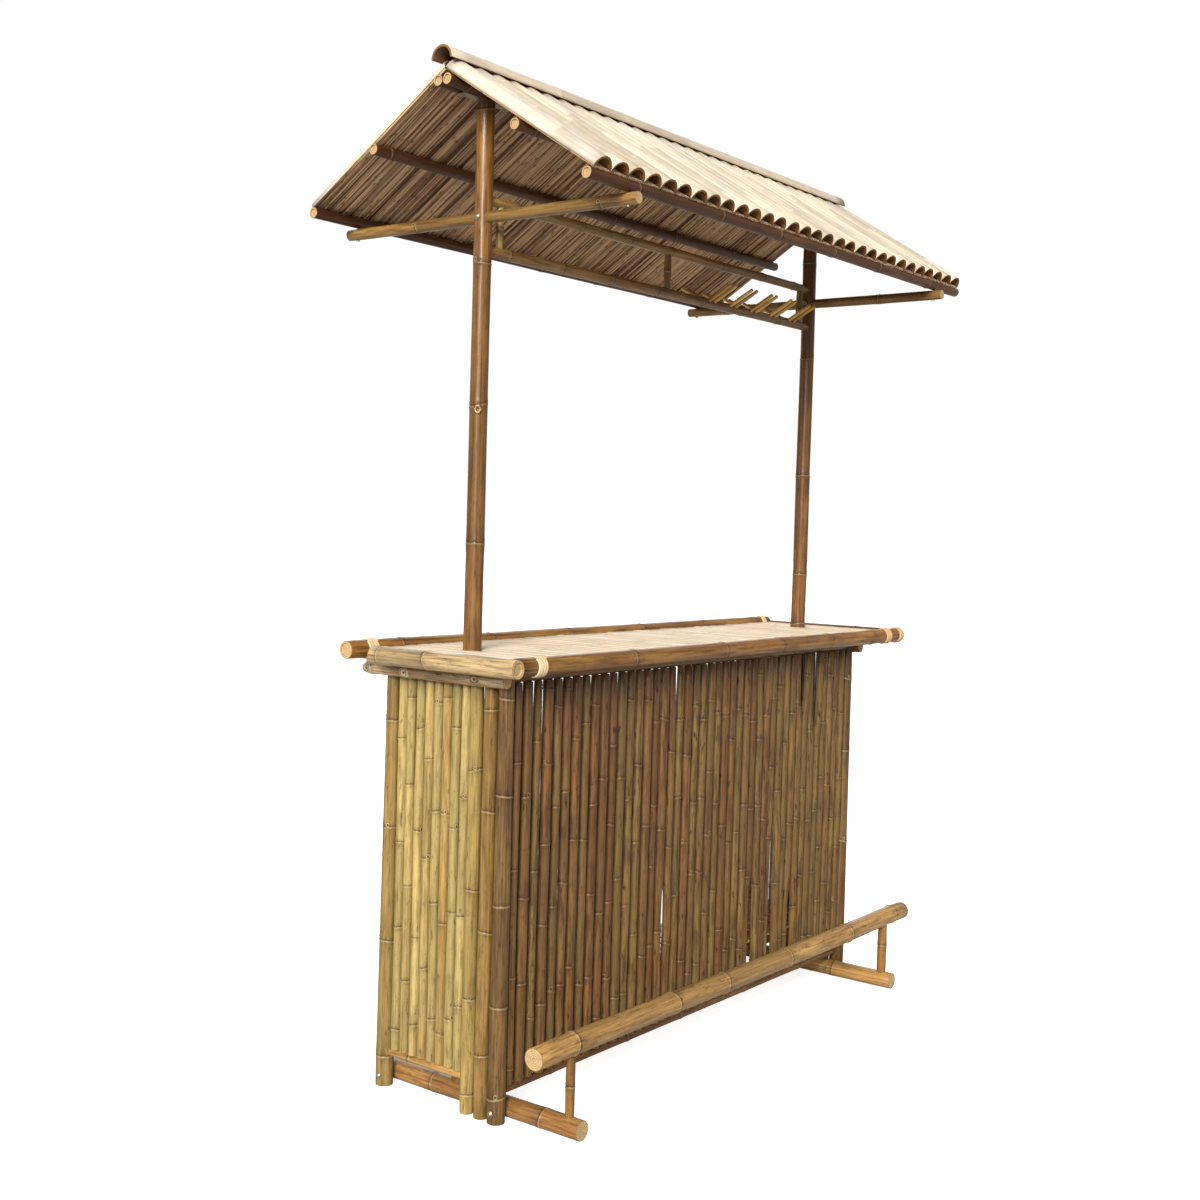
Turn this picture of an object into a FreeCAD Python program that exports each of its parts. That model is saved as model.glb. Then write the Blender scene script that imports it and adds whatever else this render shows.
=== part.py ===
import FreeCAD, Part
import math
import os

# Bamboo bar hut: a slatted counter body with a foot rail, and a gable roof on two tall posts.
# Millimetres. X runs along the counter, -Y is the guest side, Z is up, the floor is z = 0.

V = FreeCAD.Vector
ALONG_X = V(1, 0, 0)
ALONG_Y = V(0, 1, 0)
ALONG_Z = V(0, 0, 1)
SIDES = {"left": -1, "right": 1}
FACES = {"front": -1, "back": 1}

# Clearances
SEAT = 0.2                    # left between two pieces that bear on each other
BORE_GAP = 0.1                # around a peg, bolt or screw in its hole
POST_HOLE_GAP = 1.0           # around a roof post where it passes through slats
RIDGE_GAP = 2.0               # between the two roof slopes where they meet
THROUGH = 3000.0              # half the length of a cut that passes through a whole piece

# Counter body: four corner posts and the panels between them
BODY_HEIGHT = 1018.3
BODY_HALF_LENGTH = 790.0      # middle of the body to the line of an end panel
FRONT_LINE = -149.0           # y of the front panel
BACK_LINE = 207.0             # y of the back corner posts
FRONT_POST_FOOT_RADIUS = 21.5
FRONT_POST_TOP_RADIUS = 17.0
BACK_POST_FOOT_RADIUS = 21.5
BACK_POST_TOP_RADIUS = 15.5
FRAME_POST_FOOT_RADIUS = 17.0
FRAME_POST_TOP_RADIUS = 16.0
FILLER_FOOT_RADIUS = 18.0
FILLER_TOP_RADIUS = 16.5
FILLER_FRONT_GAP = 5.5        # from the corner post to the filler pole behind it
FILLER_BACK_GAP = 8.5         # from the filler pole to the front post of the end panel

# End panels
END_SLAT_RADIUS = 12.0
END_SLAT_MIN_GAP = 4.0
END_RAIL_RADIUS = 10.0
END_RAIL_HEIGHT = 82.0
TOP_RAIL_RADIUS = 12.0
LEDGER_THICKNESS = 8.0
LEDGER_HEIGHT = 28.0

# Front panel
FRONT_POLE_FOOT_RADIUS = 12.6
FRONT_POLE_TOP_RADIUS = 11.5
FRONT_POLE_SPREAD = 1.2       # how far the radius of a pole may differ from those
FRONT_POLE_MIN_GAP = 8.0
FRONT_POLE_TURN = 2.4         # radians from pole to pole in the wave that spreads their radii
FRONT_RAIL_RADIUS = 9.5
FRONT_RAIL_HEIGHT = 69.0

# Shelves behind the front panel
SHELF_RAIL_RADIUS = 14.0
SHELF_RAIL_HEIGHTS = (172.0, 630.0)
SHELF_SETBACK = 75.0          # from the back posts to the back shelf rails
SHELF_OVERHANG = 20.0         # of the shelf slats past the back shelf rails
SHELF_SLAT_WIDTH = 44.0
SHELF_SLAT_GAP = 6.0
SHELF_SLAT_THICKNESS = 6.0

# Foot logs and foot rail
LOG_RADIUS = 23.5
LOG_FRONT_OVERHANG = 36.0     # past the foot rail
LOG_BACK_OVERHANG = 29.0      # past the back posts
FOOT_RAIL_RADIUS = 26.0
FOOT_RAIL_OVERHANGS = {"left": 130.0, "right": 119.0}     # past the foot logs
FOOT_RAIL_REACH = 176.0       # in front of the front panel
FOOT_RAIL_HEIGHT = 208.0
PEG_RADII = {"left": 10.5, "right": 13.5}
PEG_BITE = 15.0               # how deep a peg sits in the log and in the rail

# Counter top
BEARER_RADIUS = 16.5
BEARER_FRONT_OVERHANG = 29.0  # past the front panel
BEARER_BACK_OVERHANG = 48.0   # past the back posts
BATTEN_RADIUS = 13.0
BATTEN_POST_GAP = 9.0         # from the middle batten to the roof posts
BATTEN_RIM_GAP = 10.5         # from the back batten to the back rim pole
RIM_RADIUS = 21.5
RIM_END_REACH = 103.0         # from the end panels out to the end rim poles
RIM_FRONT_REACH = 91.0        # from the front panel out to the front rim pole
RIM_BACK_SETBACK = 2.0        # of the back rim pole from the line of the back posts
RIM_BACK_LIFT = 11.0          # of the back rim pole above the other three
RIM_LONG_OVERHANG = 55.0      # of the front and back rim poles past the end rim poles
RIM_SHORT_OVERHANG = 28.0     # of the end rim poles past the front and back rim poles
COUNTER_SLAT_MIN_WIDTH = 42.5
COUNTER_SLAT_GAP = 0.6
COUNTER_SLAT_THICKNESS = 12.0
COUNTER_SLAT_CROWN = 3.0

# Rattan lashings round the rim poles
LASHING_THICKNESS = 3.0
LASHING_WIDTH = 9.6
LASHING_PITCH = 10.2
FRONT_BUTT_LASHING_GAP = 53.5     # from the left end pole to the first turn on the front pole
BACK_LASHING_OFFSET = 18.0        # of the back left lashing, inwards from the left end pole's line
LASHING_TURNS = 4                 # at the left of the front and back poles, and inside the right end pole
SHORT_LASHING_TURNS = 3           # at the two tips of the right end pole

# Roof posts and cross arms
ROOF_POST_FOOT_RADIUS = 23.0
ROOF_POST_TOP_RADIUS = 20.5
BASE_DOWEL_RADIUS = 6.0
BASE_DOWEL_BITE = 18.0        # how deep a dowel sits in the log and in the post
ARM_RADIUS = 14.0
ARM_OVERHANG = 28.0           # past the eave purlins
ARM_DOWEL_RADIUS = 7.0
ARM_DOWEL_HALF_LENGTH = 72.0

# Roof
ROOF_SLOPE = 32.15            # degrees
RIDGE_POLE_HEIGHT = 2325.3
PURLIN_RADIUS = 13.5
PURLIN_OVERHANG = 8.0         # past the end of the roof covering
MIDDLE_PURLIN_RUN = 236.0     # down the slope from the ridge pole
EAVE_PURLIN_RUN = 470.5
ROOF_END_OVERHANG = 138.0     # of the roof covering past the roof posts
CEILING_SLAT_MIN_WIDTH = 16.0
CEILING_SLAT_GAP = 1.4
CEILING_THICKNESS = 4.0
CEILING_OVERHANG = 1.5        # past the middle of the eave purlin, down the slope
PIPE_RADIUS = 29.5
PIPE_DEPTH = 26.0             # height of the split culm above its flat side
PIPE_WALL = 4.5
PIPE_OVERHANG = 5.5           # past the middle of the eave purlin, down the slope
CAP_RADIUS = 31.0
CAP_WALL = 5.0
CAP_OVERHANG = 13.0           # past the end of the roof covering

# Steel plates between the roof posts and the ridge poles, and the screws of the roof
PLATE_REACH = 62.0            # past both flanks of the post
PLATE_WIDTH = 25.0
PLATE_THICKNESS = 3.0
SCREW_RADIUS = 2.0
SCREW_HEAD_RADIUS = 4.2
SCREW_HEAD_HEIGHT = 2.2
PLATE_SCREW_LENGTH = 14.0
POLE_SCREW_SHARES = (0.3, 0.8)     # places along a wing of the plate, front and back ridge pole
POLE_SCREW_OFFSET = 8.0       # from the middle line of the plate
POST_SCREW_OFFSET = 9.0       # from the middle of the post, along the plate
EAVE_SCREW_BITE = 16.0        # into the eave purlin

# Carriage bolts through posts
BOLT_RADIUS = 3.5
BOLT_HEAD_RADIUS = 8.0
BOLT_HEAD_HEIGHT = 4.0
NUT_RADIUS = 7.5
NUT_SIDES = 6
NUT_HEIGHT = 6.0
LOG_BOLT_HEIGHT = 25.0

# Glass rack between the roof posts
RACK_RISE = 42.0              # from the cross arms up to the upper rail
RACK_DEPTH = 113.0            # from the upper rail down to the lower rail
RACK_UPPER_RADIUS = 12.0
RACK_LOWER_RADIUS = 13.0
RACK_STRUT_RADIUS = 9.5
RACK_STRUT_INSET = 57.0       # from a roof post to the strut beside it
RACK_MIDDLE_STRUT = -10.0     # x of the middle strut
GLASS_PEG_RADIUS = 5.5
GLASS_PEG_START = 6.5         # from the middle of the rail, where the peg's hole ends
GLASS_PEG_END = 94.0
GLASS_PEG_RISE = 29.0         # degrees above level
GLASS_SLOTS = 5
GLASS_SLOT_INSET = 120.8      # from the right roof post to the nearest slot
GLASS_SLOT_PITCH = 108.0
GLASS_SLOT_HALF_WIDTH = 13.0  # middle of a slot to the middle of its pegs

# Places that follow from the sizes above
FILLER_LINE = FRONT_LINE + FRONT_POST_FOOT_RADIUS + FILLER_FRONT_GAP + FILLER_FOOT_RADIUS
FRAME_POST_LINE = FILLER_LINE + FILLER_FOOT_RADIUS + FILLER_BACK_GAP + FRAME_POST_FOOT_RADIUS
TOP_RAIL_HEIGHT = BODY_HEIGHT - TOP_RAIL_RADIUS
LEDGER_FACE = BODY_HALF_LENGTH - END_SLAT_RADIUS - SEAT
LOG_LINE = BODY_HALF_LENGTH - max(FRONT_POST_FOOT_RADIUS, BACK_POST_FOOT_RADIUS) - LOG_RADIUS - SEAT
FRONT_POLE_WIDEST = FRONT_POLE_FOOT_RADIUS + FRONT_POLE_SPREAD
SHELF_FRONT_LINE = FRONT_LINE + FRONT_POLE_WIDEST + SHELF_RAIL_RADIUS + SEAT
SHELF_BACK_LINE = BACK_LINE - SHELF_SETBACK
FOOT_RAIL_LINE = FRONT_LINE - FOOT_RAIL_REACH
BEARER_LINE = BODY_HALF_LENGTH + max(FRONT_POST_TOP_RADIUS, BACK_POST_TOP_RADIUS) + BEARER_RADIUS + SEAT
BEARER_HEIGHT = BODY_HEIGHT - BEARER_RADIUS
RIM_HALF_LENGTH = BODY_HALF_LENGTH + RIM_END_REACH
RIM_FRONT_LINE = FRONT_LINE - RIM_FRONT_REACH
RIM_BACK_LINE = BACK_LINE - RIM_BACK_SETBACK
RIM_HEIGHT = BODY_HEIGHT + SEAT + RIM_RADIUS
BATTEN_HEIGHT = BODY_HEIGHT + SEAT + BATTEN_RADIUS
BATTEN_LINES = (FRONT_LINE, ROOF_POST_FOOT_RADIUS + BATTEN_POST_GAP + BATTEN_RADIUS,
                RIM_BACK_LINE - RIM_RADIUS - BATTEN_RIM_GAP - BATTEN_RADIUS)
COUNTER_SLAT_BASE = BATTEN_HEIGHT + BATTEN_RADIUS + SEAT
SLOPE = math.radians(ROOF_SLOPE)
RIDGE_POLE_LINE = PURLIN_RADIUS + SEAT / 2
EAVE_LINE = RIDGE_POLE_LINE + EAVE_PURLIN_RUN * math.cos(SLOPE)
EAVE_PURLIN_HEIGHT = RIDGE_POLE_HEIGHT - EAVE_PURLIN_RUN * math.sin(SLOPE)
ARM_HEIGHT = EAVE_PURLIN_HEIGHT - PURLIN_RADIUS - ARM_RADIUS - SEAT
ARM_HALF_LENGTH = EAVE_LINE + ARM_OVERHANG
PLATE_TOP = RIDGE_POLE_HEIGHT - PURLIN_RADIUS - SEAT
ROOF_POST_TOP = PLATE_TOP - PLATE_THICKNESS - SEAT
ROOF_HALF_LENGTH = LOG_LINE + ROOF_END_OVERHANG
PURLIN_HALF_LENGTH = ROOF_HALF_LENGTH + PURLIN_OVERHANG
CAP_HALF_LENGTH = ROOF_HALF_LENGTH + CAP_OVERHANG
CEILING_LIFT = PURLIN_RADIUS + SEAT
PIPE_LIFT = CEILING_LIFT + CEILING_THICKNESS + SEAT
PIPE_SINK = PIPE_RADIUS - PIPE_DEPTH
PIPE_WIDTH = 2 * math.sqrt(PIPE_RADIUS ** 2 - PIPE_SINK ** 2)
RACK_UPPER_HEIGHT = ARM_HEIGHT + RACK_RISE
RACK_LOWER_HEIGHT = RACK_UPPER_HEIGHT - RACK_DEPTH
RACK_STRUT_PLACES = (RACK_STRUT_INSET - LOG_LINE, RACK_MIDDLE_STRUT, LOG_LINE - RACK_STRUT_INSET)


def culm(start, end, start_radius, end_radius=None):
    """A straight piece of cane between two centre points, tapered if the radii differ."""
    length = (end - start).Length
    if end_radius is None or end_radius == start_radius:
        return Part.makeCylinder(start_radius, length, start, end - start)
    return Part.makeCone(start_radius, end_radius, length, start, end - start)


def bore(piece, start, end, radius):
    """The piece with a round hole from start to end."""
    return piece.cut(culm(start, end, radius))


def saddle(piece, place, direction, radius):
    """The piece cut to sit round a cane of this radius that passes through place."""
    start = place - direction * THROUGH
    return piece.cut(Part.makeCylinder(radius + SEAT, 2 * THROUGH, start, direction))


def box(low, high):
    """A block between two opposite corners."""
    size = high - low
    return Part.makeBox(size.x, size.y, size.z, low)


def upright(x, y, foot_radius, top_radius):
    """A post of the counter body, from the floor to the top of the body."""
    return culm(V(x, y, 0), V(x, y, BODY_HEIGHT), foot_radius, top_radius)


def clear_of_upright(piece, x, y, foot_radius, top_radius):
    """The piece cut to clear a post of the counter body."""
    return piece.cut(upright(x, y, foot_radius + SEAT, top_radius + SEAT))


def save(name, solids):
    """Write one sub-part: a single solid, or a group of separate ones."""
    shape = solids[0] if len(solids) == 1 else Part.makeCompound(solids)
    shape.exportStep(os.path.join("parts", name + ".step"))


# Corner posts, panel posts and foot logs

def front_corner_post(sign):
    post = upright(sign * BODY_HALF_LENGTH, FRONT_LINE, FRONT_POST_FOOT_RADIUS, FRONT_POST_TOP_RADIUS)
    return bore(post, *log_bolt_ends(sign, FRONT_LINE), BOLT_RADIUS + BORE_GAP)


def back_corner_post(sign):
    post = upright(sign * BODY_HALF_LENGTH, BACK_LINE, BACK_POST_FOOT_RADIUS, BACK_POST_TOP_RADIUS)
    return bore(post, *log_bolt_ends(sign, BACK_LINE), BOLT_RADIUS + BORE_GAP)


def log_bolt_ends(sign, line):
    """Both ends of a bolt's shank: at the post's outer face, and past the nut."""
    outer = BODY_HALF_LENGTH + (FRONT_POST_FOOT_RADIUS if line == FRONT_LINE else BACK_POST_FOOT_RADIUS)
    inner = LOG_LINE - LOG_RADIUS - NUT_HEIGHT - SEAT
    return V(sign * outer, line, LOG_BOLT_HEIGHT), V(sign * inner, line, LOG_BOLT_HEIGHT)


def foot_log(sign):
    x = sign * LOG_LINE
    log = culm(V(x, FOOT_RAIL_LINE - LOG_FRONT_OVERHANG, LOG_RADIUS),
               V(x, BACK_LINE + LOG_BACK_OVERHANG, LOG_RADIUS), LOG_RADIUS)
    for line in (FRONT_LINE, BACK_LINE):
        log = bore(log, *log_bolt_ends(sign, line), BOLT_RADIUS + BORE_GAP)
    log = bore(log, *foot_peg_ends(sign), foot_peg_radius(sign) + BORE_GAP)
    return bore(log, *base_dowel_ends(sign), BASE_DOWEL_RADIUS + BORE_GAP)


def foot_peg_radius(sign):
    return PEG_RADII["left" if sign < 0 else "right"]


def foot_peg_ends(sign):
    low = 2 * LOG_RADIUS - PEG_BITE
    high = FOOT_RAIL_HEIGHT - FOOT_RAIL_RADIUS + PEG_BITE
    return V(sign * LOG_LINE, FOOT_RAIL_LINE, low), V(sign * LOG_LINE, FOOT_RAIL_LINE, high)


def foot_rail():
    left = -LOG_LINE - FOOT_RAIL_OVERHANGS["left"]
    right = LOG_LINE + FOOT_RAIL_OVERHANGS["right"]
    rail = culm(V(left, FOOT_RAIL_LINE, FOOT_RAIL_HEIGHT), V(right, FOOT_RAIL_LINE, FOOT_RAIL_HEIGHT),
                FOOT_RAIL_RADIUS)
    for sign in SIDES.values():
        rail = bore(rail, *foot_peg_ends(sign), foot_peg_radius(sign) + BORE_GAP)
    return rail


def base_dowel_ends(sign):
    low = 2 * LOG_RADIUS - BASE_DOWEL_BITE
    high = 2 * LOG_RADIUS + BASE_DOWEL_BITE
    return V(sign * LOG_LINE, 0, low), V(sign * LOG_LINE, 0, high)


# End panels

def clear_of_panel_posts(piece, sign):
    """The piece cut to clear every post of one end of the body."""
    x = sign * BODY_HALF_LENGTH
    piece = clear_of_upright(piece, x, FRONT_LINE, FRONT_POST_FOOT_RADIUS, FRONT_POST_TOP_RADIUS)
    piece = clear_of_upright(piece, x, BACK_LINE, BACK_POST_FOOT_RADIUS, BACK_POST_TOP_RADIUS)
    piece = clear_of_upright(piece, x, FRAME_POST_LINE, FRAME_POST_FOOT_RADIUS, FRAME_POST_TOP_RADIUS)
    return clear_of_upright(piece, x, FILLER_LINE, FILLER_FOOT_RADIUS, FILLER_TOP_RADIUS)


def end_rail(sign, height, radius):
    x = sign * BODY_HALF_LENGTH
    rail = culm(V(x, FRAME_POST_LINE + FRAME_POST_FOOT_RADIUS / 2, height),
                V(x, BACK_LINE - BACK_POST_TOP_RADIUS / 2, height), radius)
    return clear_of_panel_posts(rail, sign)


def end_slats(sign):
    x = sign * BODY_HALF_LENGTH
    first = FRAME_POST_LINE + FRAME_POST_FOOT_RADIUS
    last = BACK_LINE - BACK_POST_FOOT_RADIUS
    count = int((last - first) / (2 * END_SLAT_RADIUS + END_SLAT_MIN_GAP))
    pitch = (last - first) / count
    slats = []
    for number in range(count):
        y = first + pitch * (number + 0.5)
        low = END_RAIL_HEIGHT + END_RAIL_RADIUS + SEAT
        high = TOP_RAIL_HEIGHT - TOP_RAIL_RADIUS - SEAT
        slats.append(culm(V(x, y, low), V(x, y, high), END_SLAT_RADIUS))
    return slats


def ledgers(sign):
    """Strips across the inside of an end panel, one under each shelf and one at the top."""
    outer = sign * LEDGER_FACE
    inner = sign * (LEDGER_FACE - LEDGER_THICKNESS)
    start = FRONT_LINE + TOP_RAIL_RADIUS + SEAT
    tops = [height - SHELF_RAIL_RADIUS - SEAT for height in SHELF_RAIL_HEIGHTS]
    tops.append(TOP_RAIL_HEIGHT + TOP_RAIL_RADIUS - SEAT)
    strips = []
    for top in tops:
        low = V(min(outer, inner), start, top - LEDGER_HEIGHT)
        high = V(max(outer, inner), BACK_LINE, top)
        strip = clear_of_roof_post(clear_of_panel_posts(box(low, high), sign), sign)
        strips.append(max(strip.Solids, key=lambda solid: solid.Volume))
    return strips


# Front panel and shelves

def front_rail(height, radius):
    rail = culm(V(-BODY_HALF_LENGTH, FRONT_LINE, height), V(BODY_HALF_LENGTH, FRONT_LINE, height), radius)
    for sign in SIDES.values():
        rail = clear_of_upright(rail, sign * BODY_HALF_LENGTH, FRONT_LINE,
                                FRONT_POST_FOOT_RADIUS, FRONT_POST_TOP_RADIUS)
    return max(rail.Solids, key=lambda solid: solid.Volume)


def front_poles():
    """Thin poles between the front rails, each a little thicker at its foot."""
    count = int(2 * BODY_HALF_LENGTH / (2 * FRONT_POLE_WIDEST + FRONT_POLE_MIN_GAP)) - 1
    pitch = 2 * BODY_HALF_LENGTH / (count + 1)
    low = FRONT_RAIL_HEIGHT + FRONT_RAIL_RADIUS + SEAT
    high = TOP_RAIL_HEIGHT - TOP_RAIL_RADIUS - SEAT
    poles = []
    for number in range(count):
        x = pitch * (number + 1) - BODY_HALF_LENGTH
        extra = FRONT_POLE_SPREAD * math.sin(FRONT_POLE_TURN * number)
        poles.append(culm(V(x, FRONT_LINE, low), V(x, FRONT_LINE, high),
                          FRONT_POLE_FOOT_RADIUS + extra, FRONT_POLE_TOP_RADIUS + extra))
    return poles


def shelf_rail(line, height):
    rail = culm(V(-LEDGER_FACE, line, height), V(LEDGER_FACE, line, height),
                SHELF_RAIL_RADIUS)
    for sign in SIDES.values():
        rail = clear_of_panel_posts(rail, sign)
    return max(rail.Solids, key=lambda solid: solid.Volume)


def shelf_slats(rail_height):
    low = rail_height + SHELF_RAIL_RADIUS + SEAT
    start = FRONT_LINE + FRONT_POLE_WIDEST + SEAT
    inner = LEDGER_FACE - LEDGER_THICKNESS
    pitch = SHELF_SLAT_WIDTH + SHELF_SLAT_GAP
    count = int((2 * inner - SEAT) / pitch)
    slats = []
    for number in range(count):
        x = (number - (count - 1) / 2) * pitch
        corner = V(x - SHELF_SLAT_WIDTH / 2, start, low)
        far = V(x + SHELF_SLAT_WIDTH / 2, SHELF_BACK_LINE + SHELF_OVERHANG, low + SHELF_SLAT_THICKNESS)
        slat = box(corner, far)
        for sign in SIDES.values():
            slat = clear_of_roof_post(slat, sign)
        slats.extend(slat.Solids)
    return slats


# Counter top

def bearer(sign):
    x = sign * BEARER_LINE
    return culm(V(x, FRONT_LINE - BEARER_FRONT_OVERHANG, BEARER_HEIGHT),
                V(x, BACK_LINE + BEARER_BACK_OVERHANG, BEARER_HEIGHT), BEARER_RADIUS)


def batten(line):
    piece = culm(V(-RIM_HALF_LENGTH, line, BATTEN_HEIGHT), V(RIM_HALF_LENGTH, line, BATTEN_HEIGHT),
                 BATTEN_RADIUS)
    for sign in SIDES.values():
        piece = saddle(piece, V(sign * RIM_HALF_LENGTH, 0, RIM_HEIGHT), ALONG_Y, RIM_RADIUS)
    return max(piece.Solids, key=lambda solid: solid.Volume)


def rim_height(line):
    """Middle of the front or back rim pole; the end poles lie level with the front one."""
    return RIM_HEIGHT + (RIM_BACK_LIFT if line == RIM_BACK_LINE else 0.0)


def long_rim_pole(line, sign):
    """A front or back rim pole: one end butts an end pole, the other passes it on this side."""
    butt = V(-sign * RIM_HALF_LENGTH, line, rim_height(line))
    tip = V(sign * (RIM_HALF_LENGTH + RIM_LONG_OVERHANG), line, rim_height(line))
    pole = saddle(culm(butt, tip, RIM_RADIUS), V(butt.x, line, RIM_HEIGHT), ALONG_Y, RIM_RADIUS)
    return max(pole.Solids, key=lambda solid: solid.Volume)


def end_rim_pole(sign, butt_line, tip_line, butt_radius):
    """An end rim pole: it butts the long pole at one line and passes the one at the other."""
    x = sign * RIM_HALF_LENGTH
    outward = math.copysign(RIM_SHORT_OVERHANG, tip_line)
    butt = V(x, butt_line, RIM_HEIGHT)
    tip = V(x, tip_line + outward, RIM_HEIGHT)
    pole = saddle(culm(butt, tip, RIM_RADIUS), V(x, butt_line, rim_height(butt_line)), ALONG_X, butt_radius)
    return max(pole.Solids, key=lambda solid: solid.Volume)


def counter_slats():
    """Split strips across the battens, crowned along the middle, coped to the rim poles."""
    half = RIM_HALF_LENGTH - RIM_RADIUS - SEAT
    count = int(2 * half / (COUNTER_SLAT_MIN_WIDTH + COUNTER_SLAT_GAP))
    pitch = 2 * half / count
    low = COUNTER_SLAT_BASE
    edge = low + COUNTER_SLAT_THICKNESS - COUNTER_SLAT_CROWN
    reach = (pitch - COUNTER_SLAT_GAP) / 2
    bands = Part.makeCompound([lashing_space(x, line) for x, line in lashing_places()])
    slats = []
    for number in range(count):
        x = (number + 0.5) * pitch - half
        crown = Part.Arc(V(x + reach, RIM_FRONT_LINE, edge), V(x, RIM_FRONT_LINE, edge + COUNTER_SLAT_CROWN),
                         V(x - reach, RIM_FRONT_LINE, edge)).toShape()
        base = Part.makePolygon([V(x - reach, RIM_FRONT_LINE, edge), V(x - reach, RIM_FRONT_LINE, low),
                                 V(x + reach, RIM_FRONT_LINE, low), V(x + reach, RIM_FRONT_LINE, edge)])
        outline = Part.Wire(Part.__sortEdges__([crown] + base.Edges))
        slat = Part.Face(outline).extrude(V(0, RIM_BACK_LINE - RIM_FRONT_LINE, 0))
        for line in (RIM_FRONT_LINE, RIM_BACK_LINE):
            slat = saddle(slat, V(x, line, rim_height(line)), ALONG_X, RIM_RADIUS)
        for sign in SIDES.values():
            slat = clear_of_roof_post(slat, sign)
        slats.extend(slat.cut(bands).Solids)
    return slats


def lashing_places():
    """Middle of each turn: near both ends of the front pole and of the back pole."""
    inner_face = RIM_HALF_LENGTH - RIM_RADIUS
    outer_face = RIM_HALF_LENGTH + RIM_RADIUS
    short_half = SHORT_LASHING_TURNS * LASHING_PITCH / 2 + SEAT
    full_half = LASHING_TURNS * LASHING_PITCH / 2 + SEAT
    lashings = (
        (FRONT_BUTT_LASHING_GAP + full_half - inner_face, RIM_FRONT_LINE, LASHING_TURNS),
        (inner_face - full_half, RIM_FRONT_LINE, LASHING_TURNS),
        (outer_face + short_half, RIM_FRONT_LINE, SHORT_LASHING_TURNS),
        (BACK_LASHING_OFFSET - RIM_HALF_LENGTH, RIM_BACK_LINE, LASHING_TURNS),
        (inner_face - short_half, RIM_BACK_LINE, SHORT_LASHING_TURNS),
    )
    places = []
    for middle, line, turns in lashings:
        for turn in range(turns):
            places.append((middle + (turn - (turns - 1) / 2) * LASHING_PITCH, line))
    return places


def lashing_space(x, line):
    """The room that one turn of the lashing takes, with its clearance."""
    start = V(x - LASHING_WIDTH / 2 - SEAT, line, rim_height(line))
    return Part.makeCylinder(RIM_RADIUS + LASHING_THICKNESS + SEAT, LASHING_WIDTH + 2 * SEAT, start, ALONG_X)


def lashing(x, line):
    """One turn of split rattan round a rim pole."""
    start = V(x - LASHING_WIDTH / 2, line, rim_height(line))
    band = Part.makeCylinder(RIM_RADIUS + LASHING_THICKNESS, LASHING_WIDTH, start, ALONG_X)
    return band.cut(Part.makeCylinder(RIM_RADIUS + SEAT, LASHING_WIDTH, start, ALONG_X))


# Roof posts and cross arms

def roof_post_culm(sign, gap=0.0):
    """A roof post from its foot log to its ridge plate, or the room it needs with a gap round it."""
    x = sign * LOG_LINE
    return culm(V(x, 0, 2 * LOG_RADIUS + SEAT), V(x, 0, ROOF_POST_TOP),
                ROOF_POST_FOOT_RADIUS + gap, ROOF_POST_TOP_RADIUS + gap)


def clear_of_roof_post(piece, sign, gap=POST_HOLE_GAP):
    return piece.cut(roof_post_culm(sign, gap))


def arm_bolt_ends(sign):
    outer = LOG_LINE + ROOF_POST_FOOT_RADIUS
    inner = LOG_LINE - ROOF_POST_FOOT_RADIUS - NUT_HEIGHT
    return V(sign * outer, 0, ARM_HEIGHT), V(sign * inner, 0, ARM_HEIGHT)


def arm_dowel_ends(sign):
    x = sign * LOG_LINE
    return V(x, -ARM_DOWEL_HALF_LENGTH, ARM_HEIGHT), V(x, ARM_DOWEL_HALF_LENGTH, ARM_HEIGHT)


def roof_post(sign):
    post = roof_post_culm(sign)
    post = bore(post, *base_dowel_ends(sign), BASE_DOWEL_RADIUS + BORE_GAP)
    post = bore(post, *arm_dowel_ends(sign), ARM_DOWEL_RADIUS + BORE_GAP)
    post = bore(post, *arm_bolt_ends(sign), BOLT_RADIUS + BORE_GAP)
    for start, end in post_screw_ends(sign):
        post = bore(post, start, end, SCREW_RADIUS + BORE_GAP)
    return post


def cross_arm(sign, face):
    x = sign * LOG_LINE
    start = V(x, 0, ARM_HEIGHT)
    tip = V(x, face * ARM_HALF_LENGTH, ARM_HEIGHT)
    arm = clear_of_roof_post(culm(start, tip, ARM_RADIUS), sign, SEAT)
    arm = max(arm.Solids, key=lambda solid: solid.Volume)
    arm = bore(arm, *arm_dowel_ends(sign), ARM_DOWEL_RADIUS + BORE_GAP)
    return bore(arm, *eave_screw_ends(sign, face), SCREW_RADIUS + BORE_GAP)


def arm_dowel(sign):
    return bore(culm(*arm_dowel_ends(sign), ARM_DOWEL_RADIUS), *arm_bolt_ends(sign),
                BOLT_RADIUS + BORE_GAP)


def eave_screw_ends(sign, face):
    """Both ends of the screw that goes up through an arm into the eave purlin."""
    x = sign * LOG_LINE
    low = ARM_HEIGHT - ARM_RADIUS
    high = ARM_HEIGHT + ARM_RADIUS + SEAT + EAVE_SCREW_BITE
    return V(x, face * EAVE_LINE, low), V(x, face * EAVE_LINE, high)


# Roof

def slope_point(face, x, run, lift):
    """A point of one roof slope: run down the slope from the ridge pole, lift square to it."""
    y = RIDGE_POLE_LINE + run * math.cos(SLOPE) + lift * math.sin(SLOPE)
    z = RIDGE_POLE_HEIGHT - run * math.sin(SLOPE) + lift * math.cos(SLOPE)
    return V(x, face * y, z)


def purlin(face, run):
    return culm(slope_point(face, -PURLIN_HALF_LENGTH, run, 0),
                slope_point(face, PURLIN_HALF_LENGTH, run, 0), PURLIN_RADIUS)


def ridge_pole(face):
    pole = purlin(face, 0)
    for sign in SIDES.values():
        for start, end in pole_screw_ends(sign):
            pole = bore(pole, start, end, SCREW_RADIUS + BORE_GAP)
    return pole


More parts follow.
